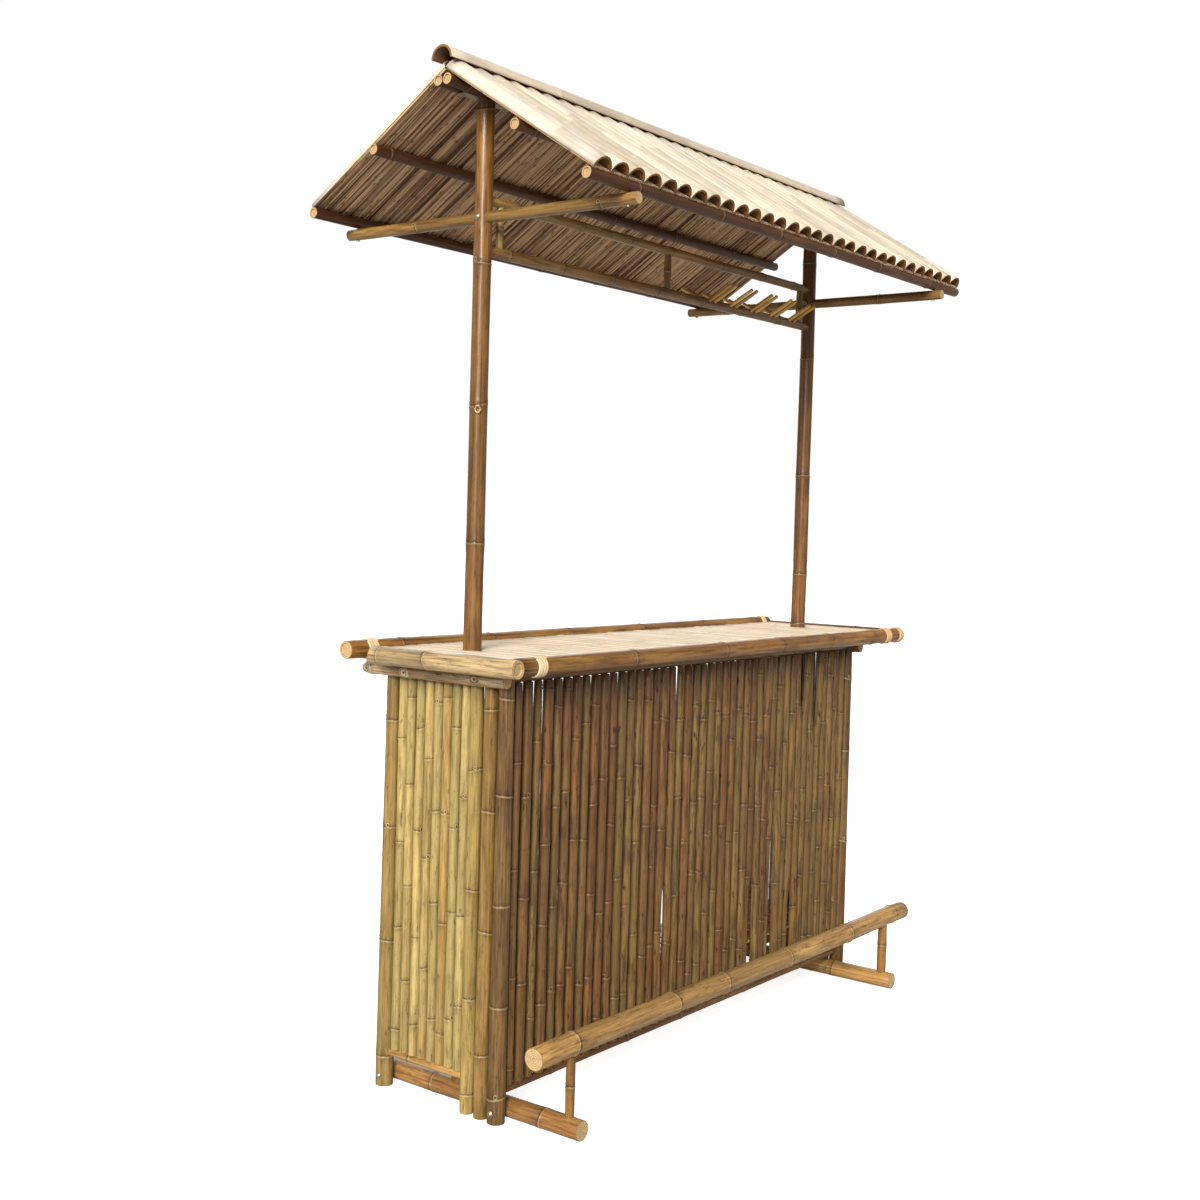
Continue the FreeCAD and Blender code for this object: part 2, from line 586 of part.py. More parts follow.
def eave_purlin(face):
    pole = purlin(face, EAVE_PURLIN_RUN)
    for sign in SIDES.values():
        pole = bore(pole, *eave_screw_ends(sign, face), SCREW_RADIUS + BORE_GAP)
    return pole


def ridge_run(lift):
    """The run at which something this high above the slope stops short of the other slope."""
    return (RIDGE_GAP / 2 - RIDGE_POLE_LINE - lift * math.sin(SLOPE)) / math.cos(SLOPE)


def slope_sheet(face, x, half_width, start, end, lift, thickness):
    """A flat slab that lies on the slope, or hangs below it if its thickness is negative."""
    corners = [slope_point(face, x - half_width, start, lift), slope_point(face, x + half_width, start, lift),
               slope_point(face, x + half_width, end, lift), slope_point(face, x - half_width, end, lift)]
    rise = slope_point(face, x, start, lift + thickness) - slope_point(face, x, start, lift)
    return Part.Face(Part.makePolygon(corners + corners[:1])).extrude(rise)


def ceiling_slats(face):
    count = int(2 * ROOF_HALF_LENGTH / (CEILING_SLAT_MIN_WIDTH + CEILING_SLAT_GAP))
    pitch = 2 * ROOF_HALF_LENGTH / count
    start = ridge_run(CEILING_LIFT)
    end = EAVE_PURLIN_RUN + CEILING_OVERHANG
    half_width = (pitch - CEILING_SLAT_GAP) / 2
    places = [(number + 0.5) * pitch - ROOF_HALF_LENGTH for number in range(count)]
    return [slope_sheet(face, x, half_width, start, end, CEILING_LIFT, CEILING_THICKNESS) for x in places]


def roof_pipe(face, x):
    """A split culm laid down the slope, round side up."""
    top = slope_point(face, x, ridge_run(PIPE_LIFT), PIPE_LIFT - PIPE_SINK)
    eave = slope_point(face, x, EAVE_PURLIN_RUN + PIPE_OVERHANG, PIPE_LIFT - PIPE_SINK)
    pipe = culm(top, eave, PIPE_RADIUS).cut(culm(top, eave, PIPE_RADIUS - PIPE_WALL))
    below = slope_sheet(face, x, PIPE_WIDTH, -EAVE_PURLIN_RUN, 2 * EAVE_PURLIN_RUN, PIPE_LIFT, -PIPE_WIDTH)
    return pipe.cut(below).Solids[0]


def roof_pipes(face):
    count = int(2 * ROOF_HALF_LENGTH / (PIPE_WIDTH + SEAT))
    pitch = 2 * ROOF_HALF_LENGTH / count
    return [roof_pipe(face, (number + 0.5) * pitch - ROOF_HALF_LENGTH) for number in range(count)]


def ridge_cap():
    """A split culm over the ridge, its lower edges on the crests of the roof pipes."""
    inner_radius = CAP_RADIUS - CAP_WALL
    crest = slope_point(1, 0, 0, PIPE_LIFT + PIPE_DEPTH)
    height = crest.z + (crest.y - inner_radius) * math.tan(SLOPE) + SEAT
    start = V(-CAP_HALF_LENGTH, 0, height)
    end = V(CAP_HALF_LENGTH, 0, height)
    cap = culm(start, end, CAP_RADIUS).cut(culm(start, end, inner_radius))
    below = box(V(-2 * CAP_HALF_LENGTH, -2 * CAP_RADIUS, height - 2 * CAP_RADIUS),
                V(2 * CAP_HALF_LENGTH, 2 * CAP_RADIUS, height))
    return cap.cut(below)


# Ridge plates and screws

def ridge_plate(sign):
    """A flat steel plate on the top of a roof post, under both ridge poles."""
    middle = sign * LOG_LINE
    reach = ROOF_POST_TOP_RADIUS + PLATE_REACH
    half = PLATE_WIDTH / 2
    plate = box(V(middle - reach, -half, PLATE_TOP - PLATE_THICKNESS), V(middle + reach, half, PLATE_TOP))
    for start, end in pole_screw_ends(sign) + post_screw_ends(sign):
        plate = bore(plate, start, end, SCREW_RADIUS + BORE_GAP)
    return plate


def pole_screw_ends(sign):
    """Ends of the screws that go up through a plate into the ridge poles, from the head to the point."""
    low = PLATE_TOP - PLATE_THICKNESS
    ends = []
    for way in SIDES.values():
        for face, share in zip(FACES.values(), POLE_SCREW_SHARES):
            x = sign * LOG_LINE + way * (ROOF_POST_TOP_RADIUS + PLATE_REACH * share)
            y = face * POLE_SCREW_OFFSET
            ends.append((V(x, y, low), V(x, y, low + PLATE_SCREW_LENGTH)))
    return ends


def post_screw_ends(sign):
    """Ends of the screws that go down through a plate into the top of the post."""
    ends = []
    for way in SIDES.values():
        x = sign * LOG_LINE + way * POST_SCREW_OFFSET
        ends.append((V(x, 0, PLATE_TOP), V(x, 0, PLATE_TOP - PLATE_SCREW_LENGTH)))
    return ends


def screw(start, end):
    """A screw whose head lies outside start."""
    inward = (end - start).normalize()
    head = Part.makeCylinder(SCREW_HEAD_RADIUS, SCREW_HEAD_HEIGHT,
                             start - inward * (SCREW_HEAD_HEIGHT + SEAT / 2), inward)
    shank = Part.makeCylinder(SCREW_RADIUS, (end - start).Length, start - inward * (SEAT / 2), inward)
    return head.fuse(shank).removeSplitter()


def roof_screws():
    screws = []
    for sign in SIDES.values():
        for start, end in pole_screw_ends(sign) + post_screw_ends(sign):
            screws.append(screw(start, end))
        for face in FACES.values():
            screws.append(screw(*eave_screw_ends(sign, face)))
    return screws


# Bolts and nuts

def bolt(start, end):
    """A carriage bolt: a low domed head outside start, and a plain shank."""
    inward = (end - start).normalize()
    head = Part.makeCone(BOLT_HEAD_RADIUS, BOLT_HEAD_RADIUS / 2, BOLT_HEAD_HEIGHT,
                         start - inward * SEAT, -inward)
    shank = Part.makeCylinder(BOLT_RADIUS, (end - start).Length + SEAT, start - inward * SEAT, inward)
    return head.fuse(shank).removeSplitter()


def nut(start, end):
    """A hexagon nut on the far end of a bolt."""
    inward = (end - start).normalize()
    centre = end - inward * NUT_HEIGHT
    corners = []
    for number in range(NUT_SIDES + 1):
        angle = 2 * math.pi * number / NUT_SIDES
        corners.append(centre + ALONG_Y * (NUT_RADIUS * math.cos(angle))
                       + ALONG_Z * (NUT_RADIUS * math.sin(angle)))
    block = Part.Face(Part.makePolygon(corners)).extrude(inward * NUT_HEIGHT)
    return bore(block, start, end, BOLT_RADIUS + BORE_GAP)


def bolt_places():
    places = []
    for sign in SIDES.values():
        places.append(log_bolt_ends(sign, FRONT_LINE))
        places.append(log_bolt_ends(sign, BACK_LINE))
        places.append(arm_bolt_ends(sign))
    return places


# Glass rack

def rack_rail(height, radius):
    rail = culm(V(-LOG_LINE, 0, height), V(LOG_LINE, 0, height), radius)
    for sign in SIDES.values():
        rail = clear_of_roof_post(rail, sign, SEAT)
    return max(rail.Solids, key=lambda solid: solid.Volume)


def lower_rack_rail():
    rail = rack_rail(RACK_LOWER_HEIGHT, RACK_LOWER_RADIUS)
    for start, end in glass_peg_places():
        rail = bore(rail, start, end, GLASS_PEG_RADIUS + BORE_GAP)
    return rail


def rack_struts():
    struts = []
    for x in RACK_STRUT_PLACES:
        strut = culm(V(x, 0, RACK_LOWER_HEIGHT + RACK_LOWER_RADIUS / 2),
                     V(x, 0, RACK_UPPER_HEIGHT - RACK_UPPER_RADIUS / 2), RACK_STRUT_RADIUS)
        strut = saddle(strut, V(x, 0, RACK_LOWER_HEIGHT), ALONG_X, RACK_LOWER_RADIUS)
        struts.append(saddle(strut, V(x, 0, RACK_UPPER_HEIGHT), ALONG_X, RACK_UPPER_RADIUS))
    return struts


def glass_peg_places():
    """Both ends of every peg: a pair to the front and a pair to the back of each slot."""
    rise = math.radians(GLASS_PEG_RISE)
    places = []
    for slot in range(GLASS_SLOTS):
        middle = LOG_LINE - GLASS_SLOT_INSET - GLASS_SLOT_PITCH * slot
        for x in (middle - GLASS_SLOT_HALF_WIDTH, middle + GLASS_SLOT_HALF_WIDTH):
            for face in FACES.values():
                outward = V(0, face * math.cos(rise), math.sin(rise))
                root = V(x, 0, RACK_LOWER_HEIGHT)
                places.append((root + outward * GLASS_PEG_START, root + outward * GLASS_PEG_END))
    return places


def build():
    os.makedirs("parts", exist_ok=True)
    for side, sign in SIDES.items():
        x = sign * BODY_HALF_LENGTH
        save("front_corner_post_" + side, [front_corner_post(sign)])
        save("back_corner_post_" + side, [back_corner_post(sign)])
        save("end_frame_post_" + side,
             [upright(x, FRAME_POST_LINE, FRAME_POST_FOOT_RADIUS, FRAME_POST_TOP_RADIUS)])
        save("filler_pole_" + side, [upright(x, FILLER_LINE, FILLER_FOOT_RADIUS, FILLER_TOP_RADIUS)])
        save("end_panel_slats_" + side, end_slats(sign))
        save("end_panel_rails_" + side, [end_rail(sign, END_RAIL_HEIGHT, END_RAIL_RADIUS),
                                         end_rail(sign, TOP_RAIL_HEIGHT, TOP_RAIL_RADIUS)])
        save("end_panel_ledgers_" + side, ledgers(sign))
        save("foot_log_" + side, [foot_log(sign)])
        save("counter_bearer_" + side, [bearer(sign)])
        save("roof_post_" + side, [roof_post(sign)])
        for name, face in FACES.items():
            save("cross_arm_" + name + "_" + side, [cross_arm(sign, face)])
    save("front_panel_poles", front_poles())
    save("front_bottom_rail", [front_rail(FRONT_RAIL_HEIGHT, FRONT_RAIL_RADIUS)])
    save("front_top_rail", [front_rail(TOP_RAIL_HEIGHT, TOP_RAIL_RADIUS)])
    save("shelf_rails", [shelf_rail(line, height) for height in SHELF_RAIL_HEIGHTS
                         for line in (SHELF_FRONT_LINE, SHELF_BACK_LINE)])
    for name, height in zip(("lower", "upper"), SHELF_RAIL_HEIGHTS):
        save(name + "_shelf_slats", shelf_slats(height))
    save("foot_rail", [foot_rail()])
    save("foot_rail_pegs", [culm(*foot_peg_ends(sign), foot_peg_radius(sign)) for sign in SIDES.values()])
    save("post_base_dowels", [culm(*base_dowel_ends(sign), BASE_DOWEL_RADIUS) for sign in SIDES.values()])
    save("counter_rim_front", [long_rim_pole(RIM_FRONT_LINE, 1)])
    save("counter_rim_back", [long_rim_pole(RIM_BACK_LINE, -1)])
    lashed_radius = RIM_RADIUS + LASHING_THICKNESS
    save("counter_rim_left", [end_rim_pole(-1, RIM_BACK_LINE, RIM_FRONT_LINE, lashed_radius)])
    save("counter_rim_right", [end_rim_pole(1, RIM_FRONT_LINE, RIM_BACK_LINE, RIM_RADIUS)])
    save("counter_battens", [batten(line) for line in BATTEN_LINES])
    save("counter_slats", counter_slats())
    save("rim_lashings", [lashing(x, line) for x, line in lashing_places()])
    save("arm_dowels", [arm_dowel(sign) for sign in SIDES.values()])
    for name, face in FACES.items():
        save("ridge_pole_" + name, [ridge_pole(face)])
        save("middle_purlin_" + name, [purlin(face, MIDDLE_PURLIN_RUN)])
        save("eave_purlin_" + name, [eave_purlin(face)])
        save("ceiling_slats_" + name, ceiling_slats(face))
        save("roof_pipes_" + name, roof_pipes(face))
    save("ridge_cap", [ridge_cap()])
    save("ridge_plates", [ridge_plate(sign) for sign in SIDES.values()])
    save("roof_screws", roof_screws())
    save("frame_bolts", [bolt(start, end) for start, end in bolt_places()])
    save("frame_nuts", [nut(start, end) for start, end in bolt_places()])
    save("glass_rack_rails", [rack_rail(RACK_UPPER_HEIGHT, RACK_UPPER_RADIUS), lower_rack_rail()])
    save("glass_rack_struts", rack_struts())
    save("glass_rack_pegs", [culm(start, end, GLASS_PEG_RADIUS) for start, end in glass_peg_places()])


build()
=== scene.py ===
"""Dresses the bamboo bar hut: grown culms, split slats, rattan and their finishes."""

import math
import random

import bmesh
import bpy
import numpy as np
from mathutils import Matrix, Vector


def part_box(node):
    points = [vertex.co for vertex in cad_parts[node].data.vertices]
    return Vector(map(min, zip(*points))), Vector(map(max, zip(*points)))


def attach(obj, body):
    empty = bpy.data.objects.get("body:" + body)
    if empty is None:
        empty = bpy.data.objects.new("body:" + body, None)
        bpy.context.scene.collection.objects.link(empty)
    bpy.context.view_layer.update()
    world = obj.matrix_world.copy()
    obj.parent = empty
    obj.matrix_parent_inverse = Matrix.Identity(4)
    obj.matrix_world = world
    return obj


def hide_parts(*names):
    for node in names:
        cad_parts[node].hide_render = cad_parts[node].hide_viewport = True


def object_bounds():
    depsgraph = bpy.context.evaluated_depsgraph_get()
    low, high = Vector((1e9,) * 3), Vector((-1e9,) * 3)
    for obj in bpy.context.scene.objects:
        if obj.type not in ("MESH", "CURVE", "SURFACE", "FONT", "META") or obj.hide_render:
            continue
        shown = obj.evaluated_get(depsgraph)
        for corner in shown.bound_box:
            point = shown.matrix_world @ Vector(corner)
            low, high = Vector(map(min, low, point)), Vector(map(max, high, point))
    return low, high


bl_info = {
    "name": "Bamboo Bar Hut",
    "version": (1, 0, 0),
    "blender": (4, 5, 0),
    "location": "3D View > Sidebar > Bamboo Hut",
    "description": "Grows the culms, slats and lashings of a bamboo bar hut round its frame",
    "category": "Object",
}

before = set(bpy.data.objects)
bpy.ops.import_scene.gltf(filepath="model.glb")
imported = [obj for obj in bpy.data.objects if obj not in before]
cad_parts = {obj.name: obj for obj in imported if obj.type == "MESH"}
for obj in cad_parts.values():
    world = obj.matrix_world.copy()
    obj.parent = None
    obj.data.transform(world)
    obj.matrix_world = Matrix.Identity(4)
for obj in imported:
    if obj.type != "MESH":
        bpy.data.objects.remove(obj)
CAD_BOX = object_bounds()
CAD_CORNERS = np.array([list(corner) for corner in CAD_BOX])
BODY = "root"

X, Y, Z = np.eye(3)
SIDES = ("left", "right")
FACES = ("front", "back")
SKIN, CUT, INNER = 0, 1, 2          # material slots of a piece
NO_BUD = (1.0, 1.0, 0.0)            # far from any bud: across, along, strength
NO_MARKS = (0.0, 0.0, 0.0)          # far from any node: scar, groove, stain
CORNER_MARKS = ("cane", "marks", "makeup", "bud")
BEVEL = 0.0006                      # at a sawn end
END_CLEAR = 0.012                   # least length from a node to the end of its culm
NODE_CLEAR = 0.026                  # the plain rings stay this far from a node
NODE_REACH = 0.05                   # past this a node no longer swells the culm
NODE_STEPS = (-0.020, -0.009, -0.0035, -0.0012, 0.0, 0.0012, 0.0032, 0.0065, 0.012, 0.022)
CANE_SPREAD = 40.0                  # how far apart two culms lie in the cane's grain
END_SHARE = 0.02                    # of a CAD culm's length, over which the radius of its end is read
NEAR_FACE = 0.00001                 # corners this close to a face lie in it
SEPTUM_THICKNESS = 0.0022

# How the nodes of a culm lie and look: in metres, and the first two in shares of the spacing
FIRST_NODE = (0.15, 0.95)
NEXT_NODE = (0.82, 1.18)
NODE_SLANT = 0.11
SLANT_REACH = 0.016
SCAR_WIDTH = 0.0017
GROOVE_RISE, GROOVE_WIDTH = 0.0036, 0.0020
STAIN_ABOVE, STAIN_BELOW = 0.016, 0.006
# Share of the height of a node, how far above the scar, and how wide: the scar, groove, ridge and swelling
NODE_FORMS = ((0.75, 0.0, 0.0016), (-0.40, 0.0034, 0.0015), (0.45, 0.0070, 0.0034), (0.30, 0.0, 0.016))

# Buds, the flats that run up from them, and the slight oval of a culm
BUD_SHARE = 0.5
BUD_STRENGTH = (0.5, 1.0)
BUD_RISE = 0.007
BUD_REACH = 0.04
FLAT_DEPTH, FLAT_WIDTH, FLAT_RUN = 0.05, 0.42, 0.06
OVAL, OVAL_TWIST = 0.012, 3.0

# A cut branch: radius of each ring as a share, and how far it stands above the culm
KNOT_RINGS = ((1.3, -0.0050), (1.15, 0.0003), (0.94, 0.0027), (0.66, 0.0030), (0.45, 0.0010))
KNOT_MIDDLE = 0.0006
KNOT_EYE = 0.62
KNOT_MARKS = (0.0, 0.0, 0.25)
KNOT_SIDES = 14

BUTT_DARKNESS = 1.6                 # of the stain at the foot of a stained culm
SPLIT_DEPTH = 0.4                   # where the split faces lie between the middle of a culm, 0, and its skin, 1
SPLIT_NODE_WIDTH = 0.004
SPLIT_NODE_HEIGHT = 0.0007
HALF_CULM_RIDGE, HALF_CULM_NARROWING = 0.0010, 0.10

# Nodes given one by one, as the photograph shows them where it can, in metres along X, Y or Z
SCAR_PLACES = {
    "front_corner_post_left": (0.058, 0.264, 0.493, 0.741, 0.960),
    "filler_pole_left": (0.143, 0.425, 0.699, 0.930),
    "roof_post_left": (0.30, 0.62, 0.95, 1.302, 1.620, 1.945, 2.29),
    "roof_post_right": (0.27, 0.58, 0.87, 1.066, 1.219, 1.521, 1.882, 2.17),
    "foot_rail": (-0.747, -0.361, -0.136, 0.174, 0.509, 0.79),
    "foot_log_left": (-0.253, 0.077),
    "foot_log_right": (-0.17, 0.13),
    "counter_rim_front": (-0.451, -0.059, 0.22, 0.492, 0.75),
    "counter_rim_back": (-0.78, -0.46, -0.14, 0.19, 0.52, 0.80),
    "counter_rim_left": (0.14, -0.008),
    "counter_rim_right": (0.09, -0.12),
    "counter_bearer_left": (0.24, 0.118, -0.103),
    "counter_bearer_right": (0.19, 0.02, -0.15),
    "cross_arm_front_left": (-0.347,),
    "cross_arm_back_left": (0.21,),
    "cross_arm_front_right": (-0.24,),
    "cross_arm_back_right": (0.30,),
}


# Reading the frame

def solids_of(node):
    """The corners of each separate solid of a CAD node, one array for each."""
    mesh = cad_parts[node].data
    corners = np.empty(len(mesh.vertices) * 3)
    mesh.vertices.foreach_get("co", corners)
    corners = corners.reshape(-1, 3)
    edges = np.empty(len(mesh.edges) * 2, np.int64)
    mesh.edges.foreach_get("vertices", edges)
    welded = np.unique(np.round(corners, 6), axis=0, return_inverse=True)[1].ravel()
    first, second = welded[edges.reshape(-1, 2)].T
    label = np.arange(welded.max() + 1)
    while True:
        lowest = np.minimum(label[first], label[second])
        before = label.copy()
        np.minimum.at(label, first, lowest)
        np.minimum.at(label, second, lowest)
        label = label[label]
        if np.array_equal(before, label):
            break
    owner = label[welded]
    found = [corners[owner == name] for name in np.unique(owner)]
    return sorted(found, key=lambda solid: tuple(np.round(solid.mean(0), 4)))


def culm_lines(node, axis):
    """For each straight culm of a node: its two ends and its radius at each."""
    lines = []
    for solid in solids_of(node):
        along = solid @ axis
        across = solid - np.outer(along, axis)
        centre = (across.max(0) + across.min(0)) / 2
        reach = np.linalg.norm(across - centre, axis=1)
        low, high = along.min(), along.max()
        near = (high - low) * END_SHARE
        lines.append((centre + axis * low, centre + axis * high,
                      reach[along < low + near].max(), reach[along > high - near].max()))
    return lines


def scars_of(node, start, axis):
    """The nodes of a named culm as distances from its foot, or None where they are left to chance."""
    places = SCAR_PLACES.get(node)
    return None if places is None else [place - float(start @ axis) for place in places]


# Growing culms, slats and bands as meshes

class Grower:
    """Collects the skins of one piece, with the marks that its finishes read at each corner."""

    def __init__(self, seed):
        self.chance = random.Random(seed)
        self.corners = []
        self.growth = []
        self.faces = []
        self.slots = []

    def cane_place(self):
        """A random place in the cane's grain, so that no two culms look alike."""
        return np.array([self.chance.uniform(0, CANE_SPREAD) for _ in range(3)])

    def add_corners(self, corners, cane, marks, makeup, buds=None):
        """Adds corners with their place in the cane, node marks, makeup and nearest bud.

        Marks are given once for all the corners, makeup once or as a list.
        """
        first = len(self.corners)
        count = len(corners)
        self.corners.extend(corners)
        makeup = makeup if isinstance(makeup, list) else [makeup] * count
        self.growth.extend(zip(cane, [marks] * count, makeup, buds or [NO_BUD] * count))
        return first

    def add_face(self, corners, slot):
        self.faces.append(tuple(corners))
        self.slots.append(slot)

    def bridge(self, rings, count, slot):
        """Faces between rings of corners, each given by its first corner."""
        for low, high in zip(rings, rings[1:]):
            for turn in range(count):
                after = (turn + 1) % count
                self.add_face((low + turn, low + after, high + after, high + turn), slot)

    def fan(self, ring, count, centre, slot, flip):
        """Faces from a ring of corners to the corner in its middle."""
        for turn in range(count):
            after = (turn + 1) % count
            pair = (ring + after, ring + turn) if flip else (ring + turn, ring + after)
            self.add_face(pair + (centre,), slot)

    def finish(self, name, materials, slot_name, nodes, sharp_cuts=True):
        """Makes the object, rides it on the body and lets it stand for its CAD nodes."""
        mesh = bpy.data.meshes.new(name)
        corners = np.clip(np.array(self.corners), *CAD_CORNERS)
        mesh.from_pydata([tuple(corner) for corner in corners], [], self.faces)
        for material in materials:
            mesh.materials.append(material)
        mesh.polygons.foreach_set("material_index", self.slots)
        mesh.polygons.foreach_set("use_smooth", [slot != CUT or not sharp_cuts for slot in self.slots])
        for label, values in zip(CORNER_MARKS, np.array(self.growth, np.float32).swapaxes(0, 1)):
            layer = mesh.attributes.new(label, "FLOAT_VECTOR", "POINT")
            layer.data.foreach_set("vector", np.ascontiguousarray(values).ravel())
        turn_outwards(mesh)
        piece = bpy.data.objects.new(name, mesh)
        bpy.context.scene.collection.objects.link(piece)
        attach(piece, BODY)
        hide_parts(*nodes)
        return piece


def turn_outwards(mesh):
    """Turns every face of every closed skin outwards."""
    shape = bmesh.new()
    shape.from_mesh(mesh)
    bmesh.ops.recalc_face_normals(shape, faces=shape.faces)
    shape.to_mesh(mesh)
    shape.free()
    mesh.update()


def cross_axes(along):
    """Two directions square to a culm."""
    side = np.cross(along, Z) if abs(along[2]) < 0.9 else np.cross(along, X)
    side /= np.linalg.norm(side)
    return side, np.cross(along, side)


def scars_along(length, spacing, chance):
    """Distances of the nodes of a culm from its foot."""
    places = []
    place = spacing * chance.uniform(*FIRST_NODE)
    while place < length - END_CLEAR:
        if place > END_CLEAR:
            places.append(place)
        place += spacing * chance.uniform(*NEXT_NODE)
    return places


def bell(gap, width):
    return math.exp(-(gap / width) ** 2)


def node_swell(gap, height):
    """How much a culm swells at a distance above one of its nodes, in metres."""
    return height * sum(share * bell(gap - rise, width) for share, rise, width in NODE_FORMS)


def node_marks(gaps):
    """Pale scar ring, dark groove and stain at the nearest node, from the distances to all nodes."""
    scar = max((bell(gap, SCAR_WIDTH) for gap in gaps), default=0.0)
    groove = max((bell(gap - GROOVE_RISE, GROOVE_WIDTH) for gap in gaps), default=0.0)
    stain = max((math.exp(-gap / STAIN_ABOVE) if gap >= 0.0 else math.exp(gap / STAIN_BELOW) for gap in gaps),
                default=0.0)
    return scar, groove, stain


class Stem:
    """One culm or split strip: its line, its nodes, its crookedness, its flutes and its random colour."""

    def __init__(self, grower, start, end, scars, spacing, kink):
        self.start = np.array(start, float)
        along = np.array(end, float) - self.start
        self.length = float(np.linalg.norm(along))
        self.along = along / self.length
        chance = grower.chance
        self.scars = scars_along(self.length, spacing, chance) if scars is None else sorted(scars)
        self.offset = grower.cane_place()
        self.tint = chance.random()
        self.ages = [chance.random() for _ in range(len(self.scars) + 1)]
        self.buds = [chance.uniform(*BUD_STRENGTH) if chance.random() < BUD_SHARE else 0.0 for _ in self.scars]
        self.slants = [(chance.gauss(0, NODE_SLANT), chance.gauss(0, NODE_SLANT)) for _ in self.scars]
        self.phase = chance.uniform(0, math.tau)
        self.flute_turn = chance.uniform(0, math.tau)
        self.stations = [0.0] + list(self.scars) + [self.length]
        self.kinks = [(0.0, 0.0)] + [(chance.uniform(-kink, kink), chance.uniform(-kink, kink))
                                     for _ in self.scars] + [(0.0, 0.0)]

    def ring_places(self, step):
        """Where along the culm its rings of corners lie."""
        count = max(2, int(math.ceil(self.length / step)) + 1)
        places = [self.length * (number / (count - 1)) for number in range(count)]
        places = [place for place in places if place in (0.0, self.length)
                  or all(abs(place - scar) > NODE_CLEAR for scar in self.scars)]
        for scar in self.scars:
            places.extend(scar + gap for gap in NODE_STEPS)
        return sorted(place for place in set(places) if 0.0 <= place <= self.length)

    def gaps(self, place):
        return [place - scar for scar in self.scars]

    def swell(self, place, height):
        return sum(node_swell(gap, height) for gap in self.gaps(place) if abs(gap) < NODE_REACH)

    def drift(self, place):
        """Sideways drift of the culm's middle at a place along it."""
        across = np.interp(place, self.stations, [kink[0] for kink in self.kinks])
        up = np.interp(place, self.stations, [kink[1] for kink in self.kinks])
        return across, up

    def passed(self, place):
        """How many nodes lie below a place."""
        return sum(1 for scar in self.scars if scar < place)

    def nearest(self, place):
        return min(range(len(self.scars)), key=lambda number: abs(place - self.scars[number]))

    def slant(self, place, local):
        """How far a corner near a node lies along the culm from a square cut, for nodes are seldom square."""
        if not self.scars:
            return 0.0
        near = self.nearest(place)
        lean = self.slants[near]
        return bell(place - self.scars[near], SLANT_REACH) * (lean[0] * local[0] + lean[1] * local[1])

    def makeup(self, radial, place):
        """Place between middle and skin, tint of the culm, and shade of the stretch between two nodes."""
        return radial, self.tint, self.ages[self.passed(place)]

    def cane(self, across, up, place):
        return np.array((across, up, place)) + self.offset

    def bud(self, turn, place, radius):
        """Distance round and along the culm from the nearest bud, and how strong it is."""
        if not self.scars:
            return NO_BUD
        index = self.nearest(place)
        rise = place - self.scars[index] - BUD_RISE
        if abs(rise) > BUD_REACH or self.buds[index] == 0.0:
            return (1.0, rise, 0.0)
        off = math.remainder(turn - self.flute_turn - (index + 1) * math.pi, math.tau)
        return (off * radius, rise, self.buds[index])

    def roundness(self, turn, place):
        """Radius factor round the culm: a slight oval, and the flat that a branch leaves."""
        oval = 1.0 + OVAL * math.sin(2 * turn + self.phase + OVAL_TWIST * place)
        index = self.passed(place)
        off = math.remainder(turn - (self.flute_turn + index * math.pi), math.tau)
        below = self.scars[index - 1] if index else -1.0
        rise = math.exp(-max(0.0, place - below) / FLAT_RUN) if index else 0.0
        return oval - FLAT_DEPTH * rise * bell(off, FLAT_WIDTH)


def grow_culm(grower, start, end, foot_radius, tip_radius, scars=None, spacing=0.24, sides=16, step=0.07,
              kink=0.0006, lean=None, copes=(None, None), hollow=0.0, ridge=0.0013, stained=0.0):
    """A whole culm with its nodes.

    A cope is the radius of the culm that an end meets, its direction, and how far this culm lies above it.
    Lean gives the drift aside, the drift back and the thickness at a share of the length. Ridge is how high
    its nodes stand, and stained is how far the stain runs up from its foot.
    """
    stem = Stem(grower, start, end, scars, spacing, kink)
    side, up = cross_axes(stem.along)
    rings = []
    turns = [math.tau * number / sides for number in range(sides)]
    for place in stem.ring_places(step):
        share = place / stem.length
        radius = foot_radius + (tip_radius - foot_radius) * share
        swell = stem.swell(place, ridge)
        across, rise = stem.drift(place)
        aside, back, thin = lean(share) if lean else (0.0, 0.0, 1.0)
        radius *= thin
        marks = node_marks(stem.gaps(place))
        if stained:
            marks = (marks[0], marks[1], max(marks[2], BUTT_DARKNESS * (1.0 - place / stained)))
        corners, cane, buds = [], [], []
        inward = {0.0: BEVEL, stem.length: -BEVEL}.get(place, 0.0)
        for turn in turns:
            reach = radius * stem.roundness(turn, place) + swell - abs(inward)
            local = (across + reach * math.cos(turn), rise + reach * math.sin(turn))
            if 0.0 < place < stem.length:
                shift = stem.slant(place, local)
            else:
                shift = cope_shift(copes[int(share)], int(share), stem.along, side, up, local)
            corners.append(stem.start + stem.along * (place + inward + shift) + side * local[0] + up * local[1]
                           + X * aside + Y * back)
            cane.append(stem.cane(*local, place))
            buds.append(stem.bud(turn, place, radius))
        rings.append(grower.add_corners(corners, cane, marks, stem.makeup(1.0, place), buds))
    grower.bridge(rings, sides, SKIN)
    for ring, outward, cope in ((rings[0], -1.0, copes[0]), (rings[-1], 1.0, copes[1])):
        close_end(grower, ring, sides, stem.along * outward, outward > 0, hollow if cope is None else 0.0)


